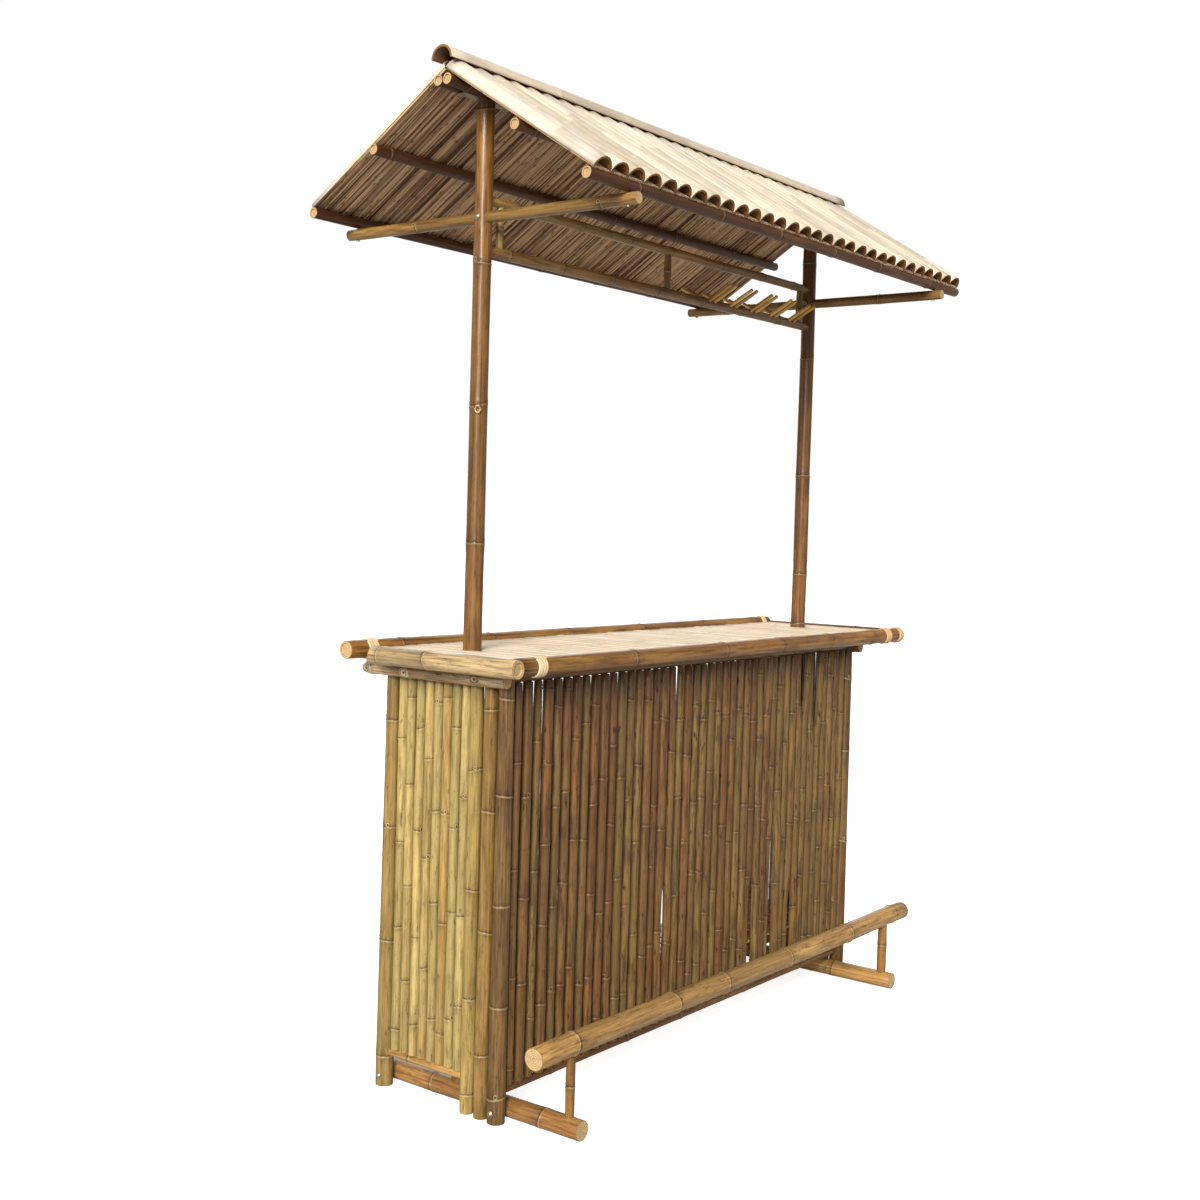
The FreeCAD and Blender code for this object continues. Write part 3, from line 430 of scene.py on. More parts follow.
def cope_shift(cope, is_far, along, side, up, local):
    """How far a corner at an end slides along the culm to meet the round culm it butts."""
    if cope is None:
        return 0.0
    radius, direction, rise = cope
    beside = np.cross(along, np.array(direction, float))
    beside /= np.linalg.norm(beside)
    offset = abs(float(np.dot(side * local[0] + up * local[1] + Z * rise, beside)))
    depth = radius - math.sqrt(max(radius * radius - offset * offset, 0.0))
    return depth if is_far else -depth


def close_end(grower, first, count, outward, is_far, hollow):
    """The sawn end of a culm: the cut wall, and the skin of the node a little way down the bore."""
    rim = [np.array(grower.corners[first + turn]) for turn in range(count)]
    cane = [np.array(grower.growth[first + turn][0]) for turn in range(count)]
    middle = sum(rim) / count
    tint, age = grower.growth[first][2][1:]
    # For each ring: share of the rim's radius, how deep it lies, and its place between middle and skin
    if hollow > 0.0:
        insets = ((0.985, -BEVEL, 0.97), (0.76, -BEVEL, 0.76), (0.72, hollow * 0.6, 0.70), (0.62, hollow, 0.60))
    else:
        insets = ((0.985, -BEVEL, 0.97), (0.70, -BEVEL * 0.7, 0.70), (0.40, -BEVEL * 0.3, 0.40))
    rings = []
    for share, sink, radial in insets:
        corners = [middle + (corner - middle) * share - outward * sink for corner in rim]
        rings.append(grower.add_corners(corners, cane, NO_MARKS, (radial, tint, age)))
    chain = [first] + rings
    grower.bridge(chain if is_far else chain[::-1], count, CUT)
    centre = grower.add_corners([middle - outward * (hollow * 0.8)], cane[:1], NO_MARKS, (0.02, tint, age))
    grower.fan(rings[-1], count, centre, CUT, not is_far)


def grow_knot(grower, middle, culm_radius, facing, along, radius):
    """The low round eye that a cut branch leaves on a culm, with its rim and its hollow middle."""
    beside = np.cross(along, facing)
    offset = grower.cane_place()
    makeup = (1.0, grower.chance.random(), grower.chance.random())
    rings = []
    for share, lift in KNOT_RINGS:
        corners, cane, buds = [], [], []
        for number in range(KNOT_SIDES):
            turn = math.tau * number / KNOT_SIDES
            across, up = radius * share * math.cos(turn), radius * share * math.sin(turn)
            height = math.sqrt(max(culm_radius ** 2 - across ** 2, 0.0)) + lift
            corners.append(middle + facing * height + beside * across + along * up)
            cane.append(np.array((across, height, up)) + offset)
            buds.append((across * KNOT_EYE, up * KNOT_EYE, 1.0))
        rings.append(grower.add_corners(corners, cane, KNOT_MARKS, makeup, buds))
    grower.bridge(rings, KNOT_SIDES, SKIN)
    for ring, lift, flip in ((rings[0], KNOT_RINGS[0][1], True), (rings[-1], KNOT_MIDDLE, False)):
        tip = middle + facing * (culm_radius + lift)
        centre = grower.add_corners([tip], [offset], KNOT_MARKS, makeup, [(0.0, 0.0, 1.0)])
        grower.fan(ring, KNOT_SIDES, centre, SKIN, flip)


def grow_half_culm(grower, start, end, radius, wall, crown, half_angle, spacing, segments, step, septum=None,
                   wander=0.0):
    """A culm split lengthwise, round side towards crown, with what is left of its septa inside."""
    stem = Stem(grower, start, end, None, spacing, wander)
    side = np.cross(stem.along, crown)
    angles = [half_angle * (2.0 * number / segments - 1.0) for number in range(segments + 1)]
    rings = []
    for place in stem.ring_places(step):
        gaps = stem.gaps(place)
        inward = sum(HALF_CULM_NARROWING * bell(gap, SPLIT_NODE_WIDTH) for gap in gaps)
        across = stem.drift(place)[0]
        outer_radius = radius + stem.swell(place, HALF_CULM_RIDGE)
        inner_radius = (radius - wall) * (1.0 - inward)
        corners, cane, makeup = [], [], []
        for reach, order, radial in ((outer_radius, angles, 1.0), (inner_radius, angles[::-1], SPLIT_DEPTH)):
            for angle in order:
                local = (across + reach * math.sin(angle), reach * math.cos(angle))
                corners.append(stem.start + stem.along * place + side * local[0] + crown * local[1])
                cane.append(stem.cane(*local, place))
                makeup.append(stem.makeup(radial, place))
        rings.append(grower.add_corners(corners, cane, node_marks(gaps), makeup))
    outer = segments + 1
    for low, high in zip(rings, rings[1:]):
        for turn in range(2 * outer):
            after = (turn + 1) % (2 * outer)
            slot = SKIN if turn < segments else (CUT if turn in (segments, 2 * outer - 1) else INNER)
            grower.add_face((low + after, low + turn, high + turn, high + after), slot)
    for ring, is_far in ((rings[0], False), (rings[-1], True)):
        for turn in range(segments):
            inner = 2 * outer - 1 - turn
            corners = (ring + turn, ring + turn + 1, ring + inner - 1, ring + inner)
            grower.add_face(corners[::-1] if is_far else corners, CUT)
    if septum is not None:
        grow_septum(grower, stem, septum, side, crown, radius - wall, angles)


def grow_septum(grower, stem, place, side, crown, radius, angles):
    """The wall that closes a split culm at a node."""
    rings = []
    for slide in (0.0, SEPTUM_THICKNESS):
        corners = [stem.start + stem.along * place + stem.along * slide + side * radius * math.sin(angle)
                   + crown * radius * math.cos(angle) for angle in angles]
        cane = [corner + stem.offset for corner in corners]
        rings.append(grower.add_corners(corners, cane, NO_MARKS, (0.5, stem.tint, stem.ages[-1])))
    count = len(angles)
    near, far = rings
    grower.add_face(range(near, near + count), INNER)
    grower.add_face(range(far, far + count)[::-1], INNER)
    for turn in range(count):
        after = (turn + 1) % count
        grower.add_face((near + after, near + turn, far + turn, far + after), INNER)


def grow_slat(grower, start, end, across, crown, width, outline, spacing, step, wander=0.0, copes=(None, None)):
    """A split strip swept from start to end.

    The outline is (across, crown, is_skin) round its section. A cope gives how far short an end stops at a
    height.
    """
    stem = Stem(grower, start, end, None, spacing, wander)
    count = len(outline)
    rings = []
    for place in stem.ring_places(step):
        gaps = stem.gaps(place)
        bump = sum(SPLIT_NODE_HEIGHT * bell(gap, SPLIT_NODE_WIDTH) for gap in gaps)
        drift = stem.drift(place)
        corners, cane, makeup = [], [], []
        for beside, height, is_skin in outline:
            local = (beside * width + drift[0], height + (bump if is_skin else 0.0))
            shift = 0.0
            if place == 0.0 and copes[0] is not None:
                shift = copes[0](height)
            elif place == stem.length and copes[1] is not None:
                shift = -copes[1](height)
            corners.append(stem.start + stem.along * (place + shift) + across * local[0] + crown * local[1])
            cane.append(stem.cane(*local, place))
            makeup.append(stem.makeup(1.0 if is_skin else SPLIT_DEPTH, place))
        rings.append(grower.add_corners(corners, cane, node_marks(gaps), makeup))
    for low, high in zip(rings, rings[1:]):
        for turn in range(count):
            after = (turn + 1) % count
            slot = SKIN if outline[turn][2] and outline[after][2] else INNER
            grower.add_face((low + turn, low + after, high + after, high + turn), slot)
    grower.add_face(range(rings[0], rings[0] + count)[::-1], CUT)
    grower.add_face(range(rings[-1], rings[-1] + count), CUT)


def grow_node(node, axis, seed, name, skin, slot_name, spacing=0.24, sides=16, thick=(1.0, 1.0), **habits):
    """One piece of whole culms: every culm of a CAD node, grown between its own ends."""
    grower = Grower(seed)
    for start, end, foot, tip in culm_lines(node, axis):
        grow_culm(grower, start, end, foot * thick[0], tip * thick[1], scars_of(node, start, axis), spacing, sides,
                  **habits)
    grower.finish(name, finishes(skin), slot_name, [node])


def square_strip(grower, solid, along, across, crown, bevel, spacing, step, wander=0.0):
    """A sawn strip with small bevels, grown in the box of a straight CAD slat."""
    low, high = solid.min(0), solid.max(0)
    middle = (low + high) / 2
    size = high - low
    width, thick = float(size @ abs(across)), float(size @ abs(crown))
    start, end = (np.where(along > 0, corner, middle) for corner in (low, high))
    outline = [(place, rise * width, skin) for place, rise, skin in block_outline(thick / width, bevel)]
    grow_slat(grower, start, end, across, crown, width, outline, spacing, step, wander)


def block_outline(thickness, bevel):
    """The section of a sawn strip of width 1, centred, with small bevels."""
    half = thickness / 2
    return [(-0.5 + bevel, -half, False), (0.5 - bevel, -half, False), (0.5, -half + bevel * 0.5, False),
            (0.5, half - bevel * 0.5, True), (0.5 - bevel, half, True), (-0.5 + bevel, half, True),
            (-0.5, half - bevel * 0.5, True), (-0.5, -half + bevel * 0.5, False)]


# Materials

BUD_WIDTH, BUD_HEIGHT = 0.0042, 0.0052
GRAIN_DEPTH = 0.0004
SCRATCH_DEPTH = 0.0002
SKIN_BUMP, END_BUMP, SCRATCH_BUMP = 0.22, 0.3, 0.2
SHINE = 0.3
COAT_ROUGHNESS = 0.22


class Wiring:
    """Adds shader nodes to one tree and joins them."""

    def __init__(self, tree):
        self.tree = tree

    def add(self, kind, **settings):
        node = self.tree.nodes.new(kind)
        for key, value in settings.items():
            setattr(node, key, value)
        return node

    def feed(self, socket, value):
        if isinstance(value, bpy.types.NodeSocket):
            self.tree.links.new(value, socket)
        else:
            socket.default_value = value

    def maths(self, operation, first, second=0.0):
        node = self.add("ShaderNodeMath", operation=operation)
        self.feed(node.inputs[0], first)
        self.feed(node.inputs[1], second)
        return node.outputs[0]

    def times(self, first, second):
        return self.maths("MULTIPLY", first, second)

    def plus(self, first, second):
        return self.maths("ADD", first, second)

    def mix(self, share, first, second):
        node = self.add("ShaderNodeMix", data_type="RGBA", clamp_factor=True)
        self.feed(node.inputs[0], share)
        self.feed(node.inputs[6], first)
        self.feed(node.inputs[7], second)
        return node.outputs[2]

    def ramp(self, value, low, high, to_low=0.0, to_high=1.0):
        node = self.add("ShaderNodeMapRange", interpolation_type="SMOOTHSTEP")
        for socket, given in zip(node.inputs, (value, low, high, to_low, to_high)):
            self.feed(socket, given)
        return node.outputs[0]

    def noise(self, place, stretch, detail, roughness=0.5, distortion=0.0):
        """Noise over a place that is first stretched along its three axes."""
        stretched = self.add("ShaderNodeVectorMath", operation="MULTIPLY")
        self.feed(stretched.inputs[0], place)
        stretched.inputs[1].default_value = stretch
        node = self.add("ShaderNodeTexNoise")
        for label, given in (("Vector", stretched.outputs[0]), ("Scale", 1.0), ("Detail", detail),
                             ("Roughness", roughness), ("Distortion", distortion)):
            self.feed(node.inputs[label], given)
        return node.outputs["Fac"]

    def dim(self, colour, light):
        """The colour made lighter or darker by a value near one."""
        node = self.add("ShaderNodeHueSaturation")
        self.feed(node.inputs["Value"], light)
        self.feed(node.inputs["Color"], colour)
        return node.outputs[0]

    def eye(self, bud, wobble):
        """The dark eye of a bud and the pale lid round it."""
        across, along, strength = self.split(bud)
        wide = self.maths("POWER", self.maths("DIVIDE", across, BUD_WIDTH), 2.0)
        tall = self.maths("POWER", self.maths("DIVIDE", along, BUD_HEIGHT), 2.0)
        far = self.plus(self.maths("SQRT", self.plus(wide, tall)), self.ramp(wobble, 0.3, 0.7, -0.2, 0.2))

        def band(middle, outer, inner):
            return self.ramp(self.maths("ABSOLUTE", self.maths("SUBTRACT", far, middle)), outer, inner)

        core = self.times(self.ramp(far, 0.55, 0.25), strength)
        ring = self.times(band(1.25, 0.22, 0.08), self.times(strength, 0.7))
        return self.maths("MAXIMUM", core, ring), self.times(band(0.85, 0.35, 0.1), strength)

    def mark(self, name):
        node = self.add("ShaderNodeAttribute", attribute_type="GEOMETRY", attribute_name=name)
        return node.outputs["Vector"]

    def split(self, vector):
        node = self.add("ShaderNodeSeparateXYZ")
        self.feed(node.inputs[0], vector)
        return node.outputs

    def relief(self, shader, height, strength, distance):
        """Raises and sinks the surface by a height."""
        node = self.add("ShaderNodeBump")
        node.inputs["Strength"].default_value = strength
        node.inputs["Distance"].default_value = distance
        self.feed(node.inputs["Height"], height)
        self.feed(shader.inputs["Normal"], node.outputs["Normal"])


def new_group(name, colours, values=()):
    """A shader node group with colour and value inputs, and the three outputs that a finish needs."""
    group = bpy.data.node_groups.new(name, "ShaderNodeTree")
    colour, value = "NodeSocketColor", "NodeSocketFloat"
    sockets = [(label, "INPUT", colour) for label in colours] + [(label, "INPUT", value) for label in values]
    sockets += [("Color", "OUTPUT", colour), ("Roughness", "OUTPUT", value), ("Height", "OUTPUT", value)]
    for label, way, kind in sockets:
        group.interface.new_socket(name=label, in_out=way, socket_type=kind)
    w = Wiring(group)
    return w, w.add("NodeGroupInput").outputs, w.add("NodeGroupOutput").inputs


def culm_skin_group():
    """The outside of a culm: streaked skin, stain, flecks, node rings and the eyes of its buds."""
    w, entry, leave = new_group("culm skin", ("Skin", "Warm", "Stain", "Bloom"),
                                ("Streak", "Stained", "Flecked", "Banded", "Ringed"))
    cane = w.mark("cane")
    scar, groove, fade = w.split(w.mark("marks"))
    _, tint, shade = w.split(w.mark("makeup"))
    fibre = w.noise(cane, (520, 520, 6), 3.0, 0.65)
    streak = w.noise(cane, (150, 150, 2.0), 3.0, 0.6)
    patch = w.noise(cane, (120, 120, 11), 6.0, 0.72, 0.15)
    cloud = w.noise(cane, (14, 14, 5), 2.0)
    fleck = w.noise(cane, (420, 420, 120), 2.0)
    blot = w.noise(cane, (120, 120, 30), 3.0, 0.6)
    eye, lid = w.eye(w.mark("bud"), streak)

    warmth = w.plus(w.ramp(tint, 0.05, 0.95, -0.30, 0.62), w.ramp(streak, 0.36, 0.66, 0.0, 0.45))
    warmth = w.plus(warmth, w.ramp(cloud, 0.38, 0.64, -0.15, 0.25))
    light = w.plus(w.ramp(shade, 0.0, 1.0, 0.78, 1.14), w.ramp(patch, 0.3, 0.7, 0.17, -0.17))
    colour = w.dim(w.mix(warmth, entry["Skin"], entry["Warm"]), light)
    streaked = w.times(w.ramp(fibre, 0.46, 0.66), entry["Streak"])
    worn = w.ramp(w.plus(patch, w.times(shade, 0.10)), 0.53, 0.72)
    dots = w.times(w.ramp(fleck, 0.69, 0.75), entry["Flecked"])
    ragged = w.times(fade, w.ramp(streak, 0.38, 0.62, 0.1, 1.2))
    layers = ((streaked, 0.55, "Stain"), (worn, w.times(entry["Stained"], 0.7), "Stain"),
              (w.ramp(blot, 0.60, 0.72), w.times(entry["Flecked"], 0.6), "Stain"), (dots, 0.8, "Stain"),
              (w.times(ragged, entry["Banded"]), 0.6, "Stain"), (groove, 0.72, "Stain"),
              (scar, entry["Ringed"], "Bloom"), (lid, 0.55, "Bloom"), (eye, 0.85, "Stain"))
    for share, strength, paint in layers:
        colour = w.mix(w.times(share, strength), colour, entry[paint])
    w.feed(leave["Color"], colour)
    w.feed(leave["Roughness"], w.plus(w.ramp(patch, 0.3, 0.75, 0.27, 0.46), w.times(fade, 0.12)))
    height = w.plus(w.times(fibre, 0.35), w.times(streak, 0.6))
    for part, lift in ((dots, -0.5), (lid, 1.6), (eye, -2.2)):
        height = w.plus(height, w.times(part, lift))
    w.feed(leave["Height"], height)
    return w.tree


def split_wood_group():
    """A split or planed face of bamboo: long fibres, dark pores and the band at each node."""
    w, entry, leave = new_group("split wood", ("Pale", "Dark", "Pore"), ("Pored", "Spread", "Banded"))
    cane = w.mark("cane")
    scar, groove, fade = w.split(w.mark("marks"))
    _, tint, age = w.split(w.mark("makeup"))
    fibre = w.noise(cane, (1500, 1500, 14), 2.0, 0.6)
    streak = w.noise(cane, (260, 260, 3.5), 4.0, 0.6)
    patch = w.noise(cane, (30, 30, 6), 4.0, 0.6)
    lot = w.times(w.maths("SUBTRACT", tint, 0.5), entry["Spread"])
    band = w.maths("MAXIMUM", w.maths("MAXIMUM", scar, groove), w.times(fade, 0.4))
    colour = w.mix(w.plus(w.ramp(streak, 0.34, 0.68), lot), entry["Pale"], entry["Dark"])
    for share, strength, paint in ((w.ramp(patch, 0.48, 0.72), w.times(age, 0.55), "Dark"),
                                   (w.ramp(fibre, 0.58, 0.70), entry["Pored"], "Pore"),
                                   (band, entry["Banded"], "Pore")):
        colour = w.mix(w.times(share, strength), colour, entry[paint])
    w.feed(leave["Color"], colour)
    w.feed(leave["Roughness"], w.ramp(streak, 0.3, 0.7, 0.50, 0.72))
    w.feed(leave["Height"], w.plus(w.times(fibre, 0.7), streak))
    return w.tree


def end_grain_group():
    """A sawn end: rings round the culm, specks of fibre, cloudy stain and a darker rim."""
    w, entry, leave = new_group("end grain", ("Pale", "Ring", "Rim"))
    cane = w.mark("cane")
    radial = w.split(w.mark("makeup"))[0]
    grain = w.noise(cane, (700, 700, 700), 3.0, 0.6)
    cloud = w.noise(cane, (90, 90, 90), 3.0, 0.6)
    rings = w.maths("SINE", w.times(w.plus(radial, w.times(cloud, 0.10)), 34.0))
    edge = w.plus(w.ramp(radial, 0.90, 0.99, 0.0, 0.7), w.ramp(radial, 0.12, 0.02, 0.0, 0.5))
    colour = entry["Pale"]
    for share, paint in ((w.ramp(rings, 0.1, 1.0, 0.0, 0.65), "Ring"), (w.ramp(grain, 0.50, 0.70, 0.0, 0.5), "Ring"),
                         (w.ramp(cloud, 0.45, 0.75, 0.0, 0.5), "Ring"), (edge, "Rim")):
        colour = w.mix(share, colour, entry[paint])
    w.feed(leave["Color"], colour)
    w.feed(leave["Roughness"], w.ramp(grain, 0.3, 0.7, 0.62, 0.85))
    w.feed(leave["Height"], w.plus(w.times(rings, 0.2), grain))
    return w.tree


def new_material(name):
    """An empty node material: the material, its wiring and its Principled BSDF."""
    material = bpy.data.materials.new(name)
    material.use_nodes = True
    return material, Wiring(material.node_tree), material.node_tree.nodes["Principled BSDF"]


def finish_material(name, group, values, coat, bump):
    """A material of one effect group, with its own values."""
    _, w, shader = new_material(name)
    effect = w.add("ShaderNodeGroup", node_tree=group)
    for label, value in values.items():
        effect.inputs[label].default_value = value
    w.feed(shader.inputs["Base Color"], effect.outputs["Color"])
    w.feed(shader.inputs["Roughness"], effect.outputs["Roughness"])
    w.relief(shader, effect.outputs["Height"], bump, GRAIN_DEPTH)
    shader.inputs["Specular IOR Level"].default_value = SHINE
    shader.inputs["Coat Weight"].default_value = coat
    shader.inputs["Coat Roughness"].default_value = COAT_ROUGHNESS


def srgb(red, green, blue):
    """A colour given as screen values from 0 to 255, as the linear one that Blender keeps."""
    linear = []
    for value in (red, green, blue):
        share = value / 255.0
        linear.append(share / 12.92 if share <= 0.04045 else ((share + 0.055) / 1.055) ** 2.4)
    return tuple(linear) + (1.0,)


def tone(label, about, red, green, blue):
    return bpy.props.FloatVectorProperty(name=label, description=about, subtype="COLOR", size=4, min=0.0, max=1.0,
                                         default=srgb(red, green, blue))


class HutColours(bpy.types.PropertyGroup):
    """Colours of the bamboo, the rattan and the metal."""

    honey: tone("Honey", "Skin of the roof posts, shelves, rails and battens", 146, 104, 52)
    honey_warm: tone("Honey warm", "Browner streaks of the roof posts", 98, 60, 28)
    tawny: tone("Tawny", "Skin of the foot rail, its logs and the end rails", 184, 142, 82)
    tawny_warm: tone("Tawny warm", "Browner streaks of the foot rail", 142, 98, 52)
    amber: tone("Amber", "Skin of the back posts, end frame posts and rack struts", 166, 140, 80)
    amber_warm: tone("Amber warm", "Browner streaks of the back posts", 134, 100, 52)
    auburn: tone("Auburn", "Skin of the long rim poles of the counter", 186, 140, 66)
    auburn_warm: tone("Auburn warm", "Browner streaks of the long rim poles, and inside the roof culms", 140, 92, 40)
    olive: tone("Olive", "Skin of the cross arms and the rails of the glass rack", 152, 116, 62)
    olive_warm: tone("Olive warm", "Browner streaks of the cross arms", 110, 72, 34)
    # Stick is brighter than the pegs' own gold: painted light where the roof shades them.
    stick: tone("Stick", "Skin of the glass pegs", 240, 194, 114)
    stick_warm: tone("Stick warm", "Browner streaks of the glass pegs", 196, 142, 72)
    tan: tone("Tan", "Skin of the left rim pole", 190, 162, 118)
    tan_warm: tone("Tan warm", "Browner streaks of the left rim pole", 134, 100, 62)
    # Umber and its warm streaks are darker than the culms' own brown: painted shade of the roof on the ridge poles
    # and purlins, and inside the ridge cap.
    umber: tone("Umber", "Skin of the ridge poles and purlins", 92, 56, 28)
    umber_warm: tone("Umber warm", "Browner streaks of the purlins", 62, 34, 16)
    # Pale is lighter than the left bearer's own tan: painted light where the rim shades it.
    pale: tone("Pale", "Skin of the left bearer", 240, 220, 182)
    pale_warm: tone("Pale warm", "Tan streaks of the left bearer", 172, 130, 80)
    dark: tone("Dark", "Skin of the front corner posts", 126, 96, 56)
    dark_warm: tone("Dark warm", "Browner streaks of the front corner posts", 94, 64, 34)
    straw: tone("Straw", "Skin of the end panel slats", 180, 158, 98)
    straw_warm: tone("Straw warm", "Tan streaks of the end panel slats", 174, 138, 78)
    brown: tone("Brown", "Olive skin of the front panel poles", 118, 92, 50)
    brown_warm: tone("Brown warm", "Rusty streaks of the front panel poles", 114, 76, 40)
    stain: tone("Stain", "Dark stain and flecks", 48, 27, 12)
    bloom: tone("Bloom", "Pale ring at each node", 208, 178, 122)
    brown_bloom: tone("Brown bloom", "Ring at each node of the front poles", 172, 132, 78)
    counter: tone("Counter", "Planed slats of the counter", 240, 229, 206)
    counter_dark: tone("Counter dark", "Darker fibres of the counter slats", 224, 196, 160)
    ceiling: tone("Ceiling", "Split faces of the ceiling slats", 236, 194, 148)
    ceiling_dark: tone("Ceiling dark", "Darker fibres of the ceiling slats", 92, 62, 40)
    roof: tone("Roof", "Bleached skin of the roof culms", 220, 209, 190)
    roof_warm: tone("Roof warm", "Tan streaks of the roof culms", 212, 195, 169)
    cut: tone("Sawn end", "Sawn ends of the culms", 204, 174, 126)
    cut_ring: tone("Sawn ring", "Rings and fibres of the sawn ends", 132, 96, 58)
    rattan: tone("Rattan", "Lashings", 255, 236, 200)
    rattan_dark: tone("Rattan dark", "Darker fibres of the lashings", 210, 168, 118)
    zinc: tone("Zinc", "Screws, bolts and plates", 172, 164, 140)
    rust: tone("Tarnish", "Tarnish of the metal", 120, 92, 58)


def length_prop(label, about, default, low=0.0):
    return bpy.props.FloatProperty(name=label, description=about, default=default, min=low, subtype="DISTANCE",
                                   unit="LENGTH", precision=4)


class HutSizes(bpy.types.PropertyGroup):
    """Sizes of the growth that the frame leaves open."""

    pole_spacing: length_prop("Pole node spacing", "Between the nodes of the panel poles and body posts", 0.235, 0.05)
    post_spacing: length_prop("Post node spacing", "Between the nodes of the ridge poles and purlins", 0.33, 0.05)
    pole_kink: length_prop("Pole kink", "How far a thin pole steps aside at a node", 0.0012)
    bore_sink: length_prop("Bore sink", "How far the septum lies inside a sawn end", 0.0035)
    slat_waver: length_prop("Slat waver", "How far a split slat wanders from straight", 0.0007)


# How streaked, stained, flecked, banded and ringed each kind of culm is, and its gloss
CULM_KINDS = {
    "honey": (0.6, 0.6, 0.9, 1.0, 0.25, 0.25), "tawny": (0.7, 0.6, 0.9, 1.0, 0.4, 0.3),
    "amber": (0.5, 0.5, 0.9, 1.0, 0.4, 0.1), "auburn": (0.7, 0.6, 0.9, 1.0, 0.3, 0.3),
    "umber": (0.6, 0.5, 0.8, 1.0, 0.3, 0.05), "olive": (0.7, 0.6, 0.9, 1.0, 0.3, 0.3),
    "stick": (0.6, 0.4, 0.8, 1.0, 0.4, 0.1), "tan": (0.7, 0.6, 1.1, 1.0, 0.6, 0.45),
    "pale": (0.9, 0.8, 1.3, 1.0, 0.4, 0.3), "dark": (0.8, 0.8, 1.0, 1.0, 0.4, 0.1),
    "straw": (0.6, 0.4, 1.0, 0.9, 0.4, 0.1), "brown": (0.8, 0.9, 1.6, 1.0, 0.3, 0.1),
    "roof": (0.5, 0.25, 0.35, 0.8, 0.5, 0.0),
}
# Stain and ring colours of the culms that don't take the common ones
CULM_PAINTS = {"brown": ("stain", "brown_bloom"), "roof": ("roof_warm", "roof")}
# Pale, dark and pore colours of each split face, how pored, spread and banded it is, and its bump
SPLIT_KINDS = {
    "planed slat": ("counter", "counter_dark", "honey_warm", 0.35, 0.5, 0.45, 0.3),
    "ceiling slat": ("ceiling", "ceiling_dark", "stain", 0.6, 1.2, 0.8, 0.45),
    "pipe inside": ("auburn_warm", "honey_warm", "stain", 0.5, 0.6, 0.8, 0.4),
    # The ridge cap's inside takes the dark umber colours: painted shade under the cap.
    "cap inside": ("umber", "umber_warm", "stain", 0.5, 0.6, 0.8, 0.4),
    "split inside": ("counter_dark", "honey_warm", "stain", 0.6, 0.6, 0.6, 0.4),
    "rattan strip": ("rattan", "rattan_dark", "stain", 0.35, 0.4, 0.0, 0.35),
}
END_KINDS = {"sawn end": ("cut", "cut_ring", "honey_warm"), "weathered end": ("cut_ring", "auburn_warm", "stain")}


def hut_materials():
    """All finishes of the hut, made once and kept by name."""
    if "honey culm" in bpy.data.materials:
        return bpy.data.materials
    tones = bpy.context.scene.hut_colours
    skin, wood, grain = culm_skin_group(), split_wood_group(), end_grain_group()
    for kind, (streak, stained, flecked, banded, ringed, coat) in CULM_KINDS.items():
        stain, bloom = CULM_PAINTS.get(kind, ("stain", "bloom"))
        finish_material(kind + " culm", skin,
                        {"Skin": getattr(tones, kind), "Warm": getattr(tones, kind + "_warm"),
                         "Stain": getattr(tones, stain), "Bloom": getattr(tones, bloom), "Streak": streak,
                         "Stained": stained, "Flecked": flecked, "Banded": banded, "Ringed": ringed},
                        coat, SKIN_BUMP)
    for name, (pale, dark, pore, pored, spread, banded, bump) in SPLIT_KINDS.items():
        finish_material(name, wood, {"Pale": getattr(tones, pale), "Dark": getattr(tones, dark),
                                     "Pore": getattr(tones, pore), "Pored": pored, "Spread": spread,
                                     "Banded": banded}, 0.0, bump)
    for name, paints in END_KINDS.items():
        values = {label: getattr(tones, paint) for label, paint in zip(("Pale", "Ring", "Rim"), paints)}
        finish_material(name, grain, values, 0.0, END_BUMP)
    metal_material(tones)
    stick_material(tones)
    return bpy.data.materials


def metal_material(tones):
    """Dull zinc plate with tarnish and fine scratches, read from the object's own place."""
    _, w, shader = new_material("zinc plate")
    place = w.add("ShaderNodeTexCoord").outputs["Object"]
    cloud = w.noise(place, (90, 90, 90), 5.0, 0.65)
    scratch = w.noise(place, (1400, 160, 1400), 2.0, 0.6)
    tarnish = w.ramp(cloud, 0.50, 0.68, 0.0, 0.8)
    w.feed(shader.inputs["Base Color"], w.mix(tarnish, tones.zinc, tones.rust))
    w.feed(shader.inputs["Metallic"], w.ramp(cloud, 0.5, 0.7, 0.95, 0.35))
    w.feed(shader.inputs["Roughness"], w.ramp(scratch, 0.3, 0.7, 0.30, 0.55))
    w.relief(shader, scratch, SCRATCH_BUMP, SCRATCH_DEPTH)


def stick_material(tones):
    """Whittled bamboo for the dowels, read from the object's own place."""
    _, w, shader = new_material("whittled stick")
    place = w.add("ShaderNodeTexCoord").outputs["Object"]
    fibre = w.noise(place, (700, 30, 700), 3.0, 0.6)
    cloud = w.noise(place, (60, 60, 60), 3.0, 0.6)
    colour = w.mix(w.ramp(fibre, 0.35, 0.68), tones.counter, tones.honey_warm)
    w.feed(shader.inputs["Base Color"], w.mix(w.ramp(cloud, 0.5, 0.8, 0.0, 0.4), colour, tones.stain))
    w.feed(shader.inputs["Roughness"], w.ramp(fibre, 0.3, 0.7, 0.45, 0.65))


def finishes(skin, end="sawn end", inside="split inside"):
    """The three finishes of a piece: its skin, its sawn ends and its split faces."""
    made = hut_materials()
    return [made[skin], made[end], made[inside]]


# Operators: one for each group of pieces

class HutOperator:
    bl_options = {"REGISTER", "UNDO"}


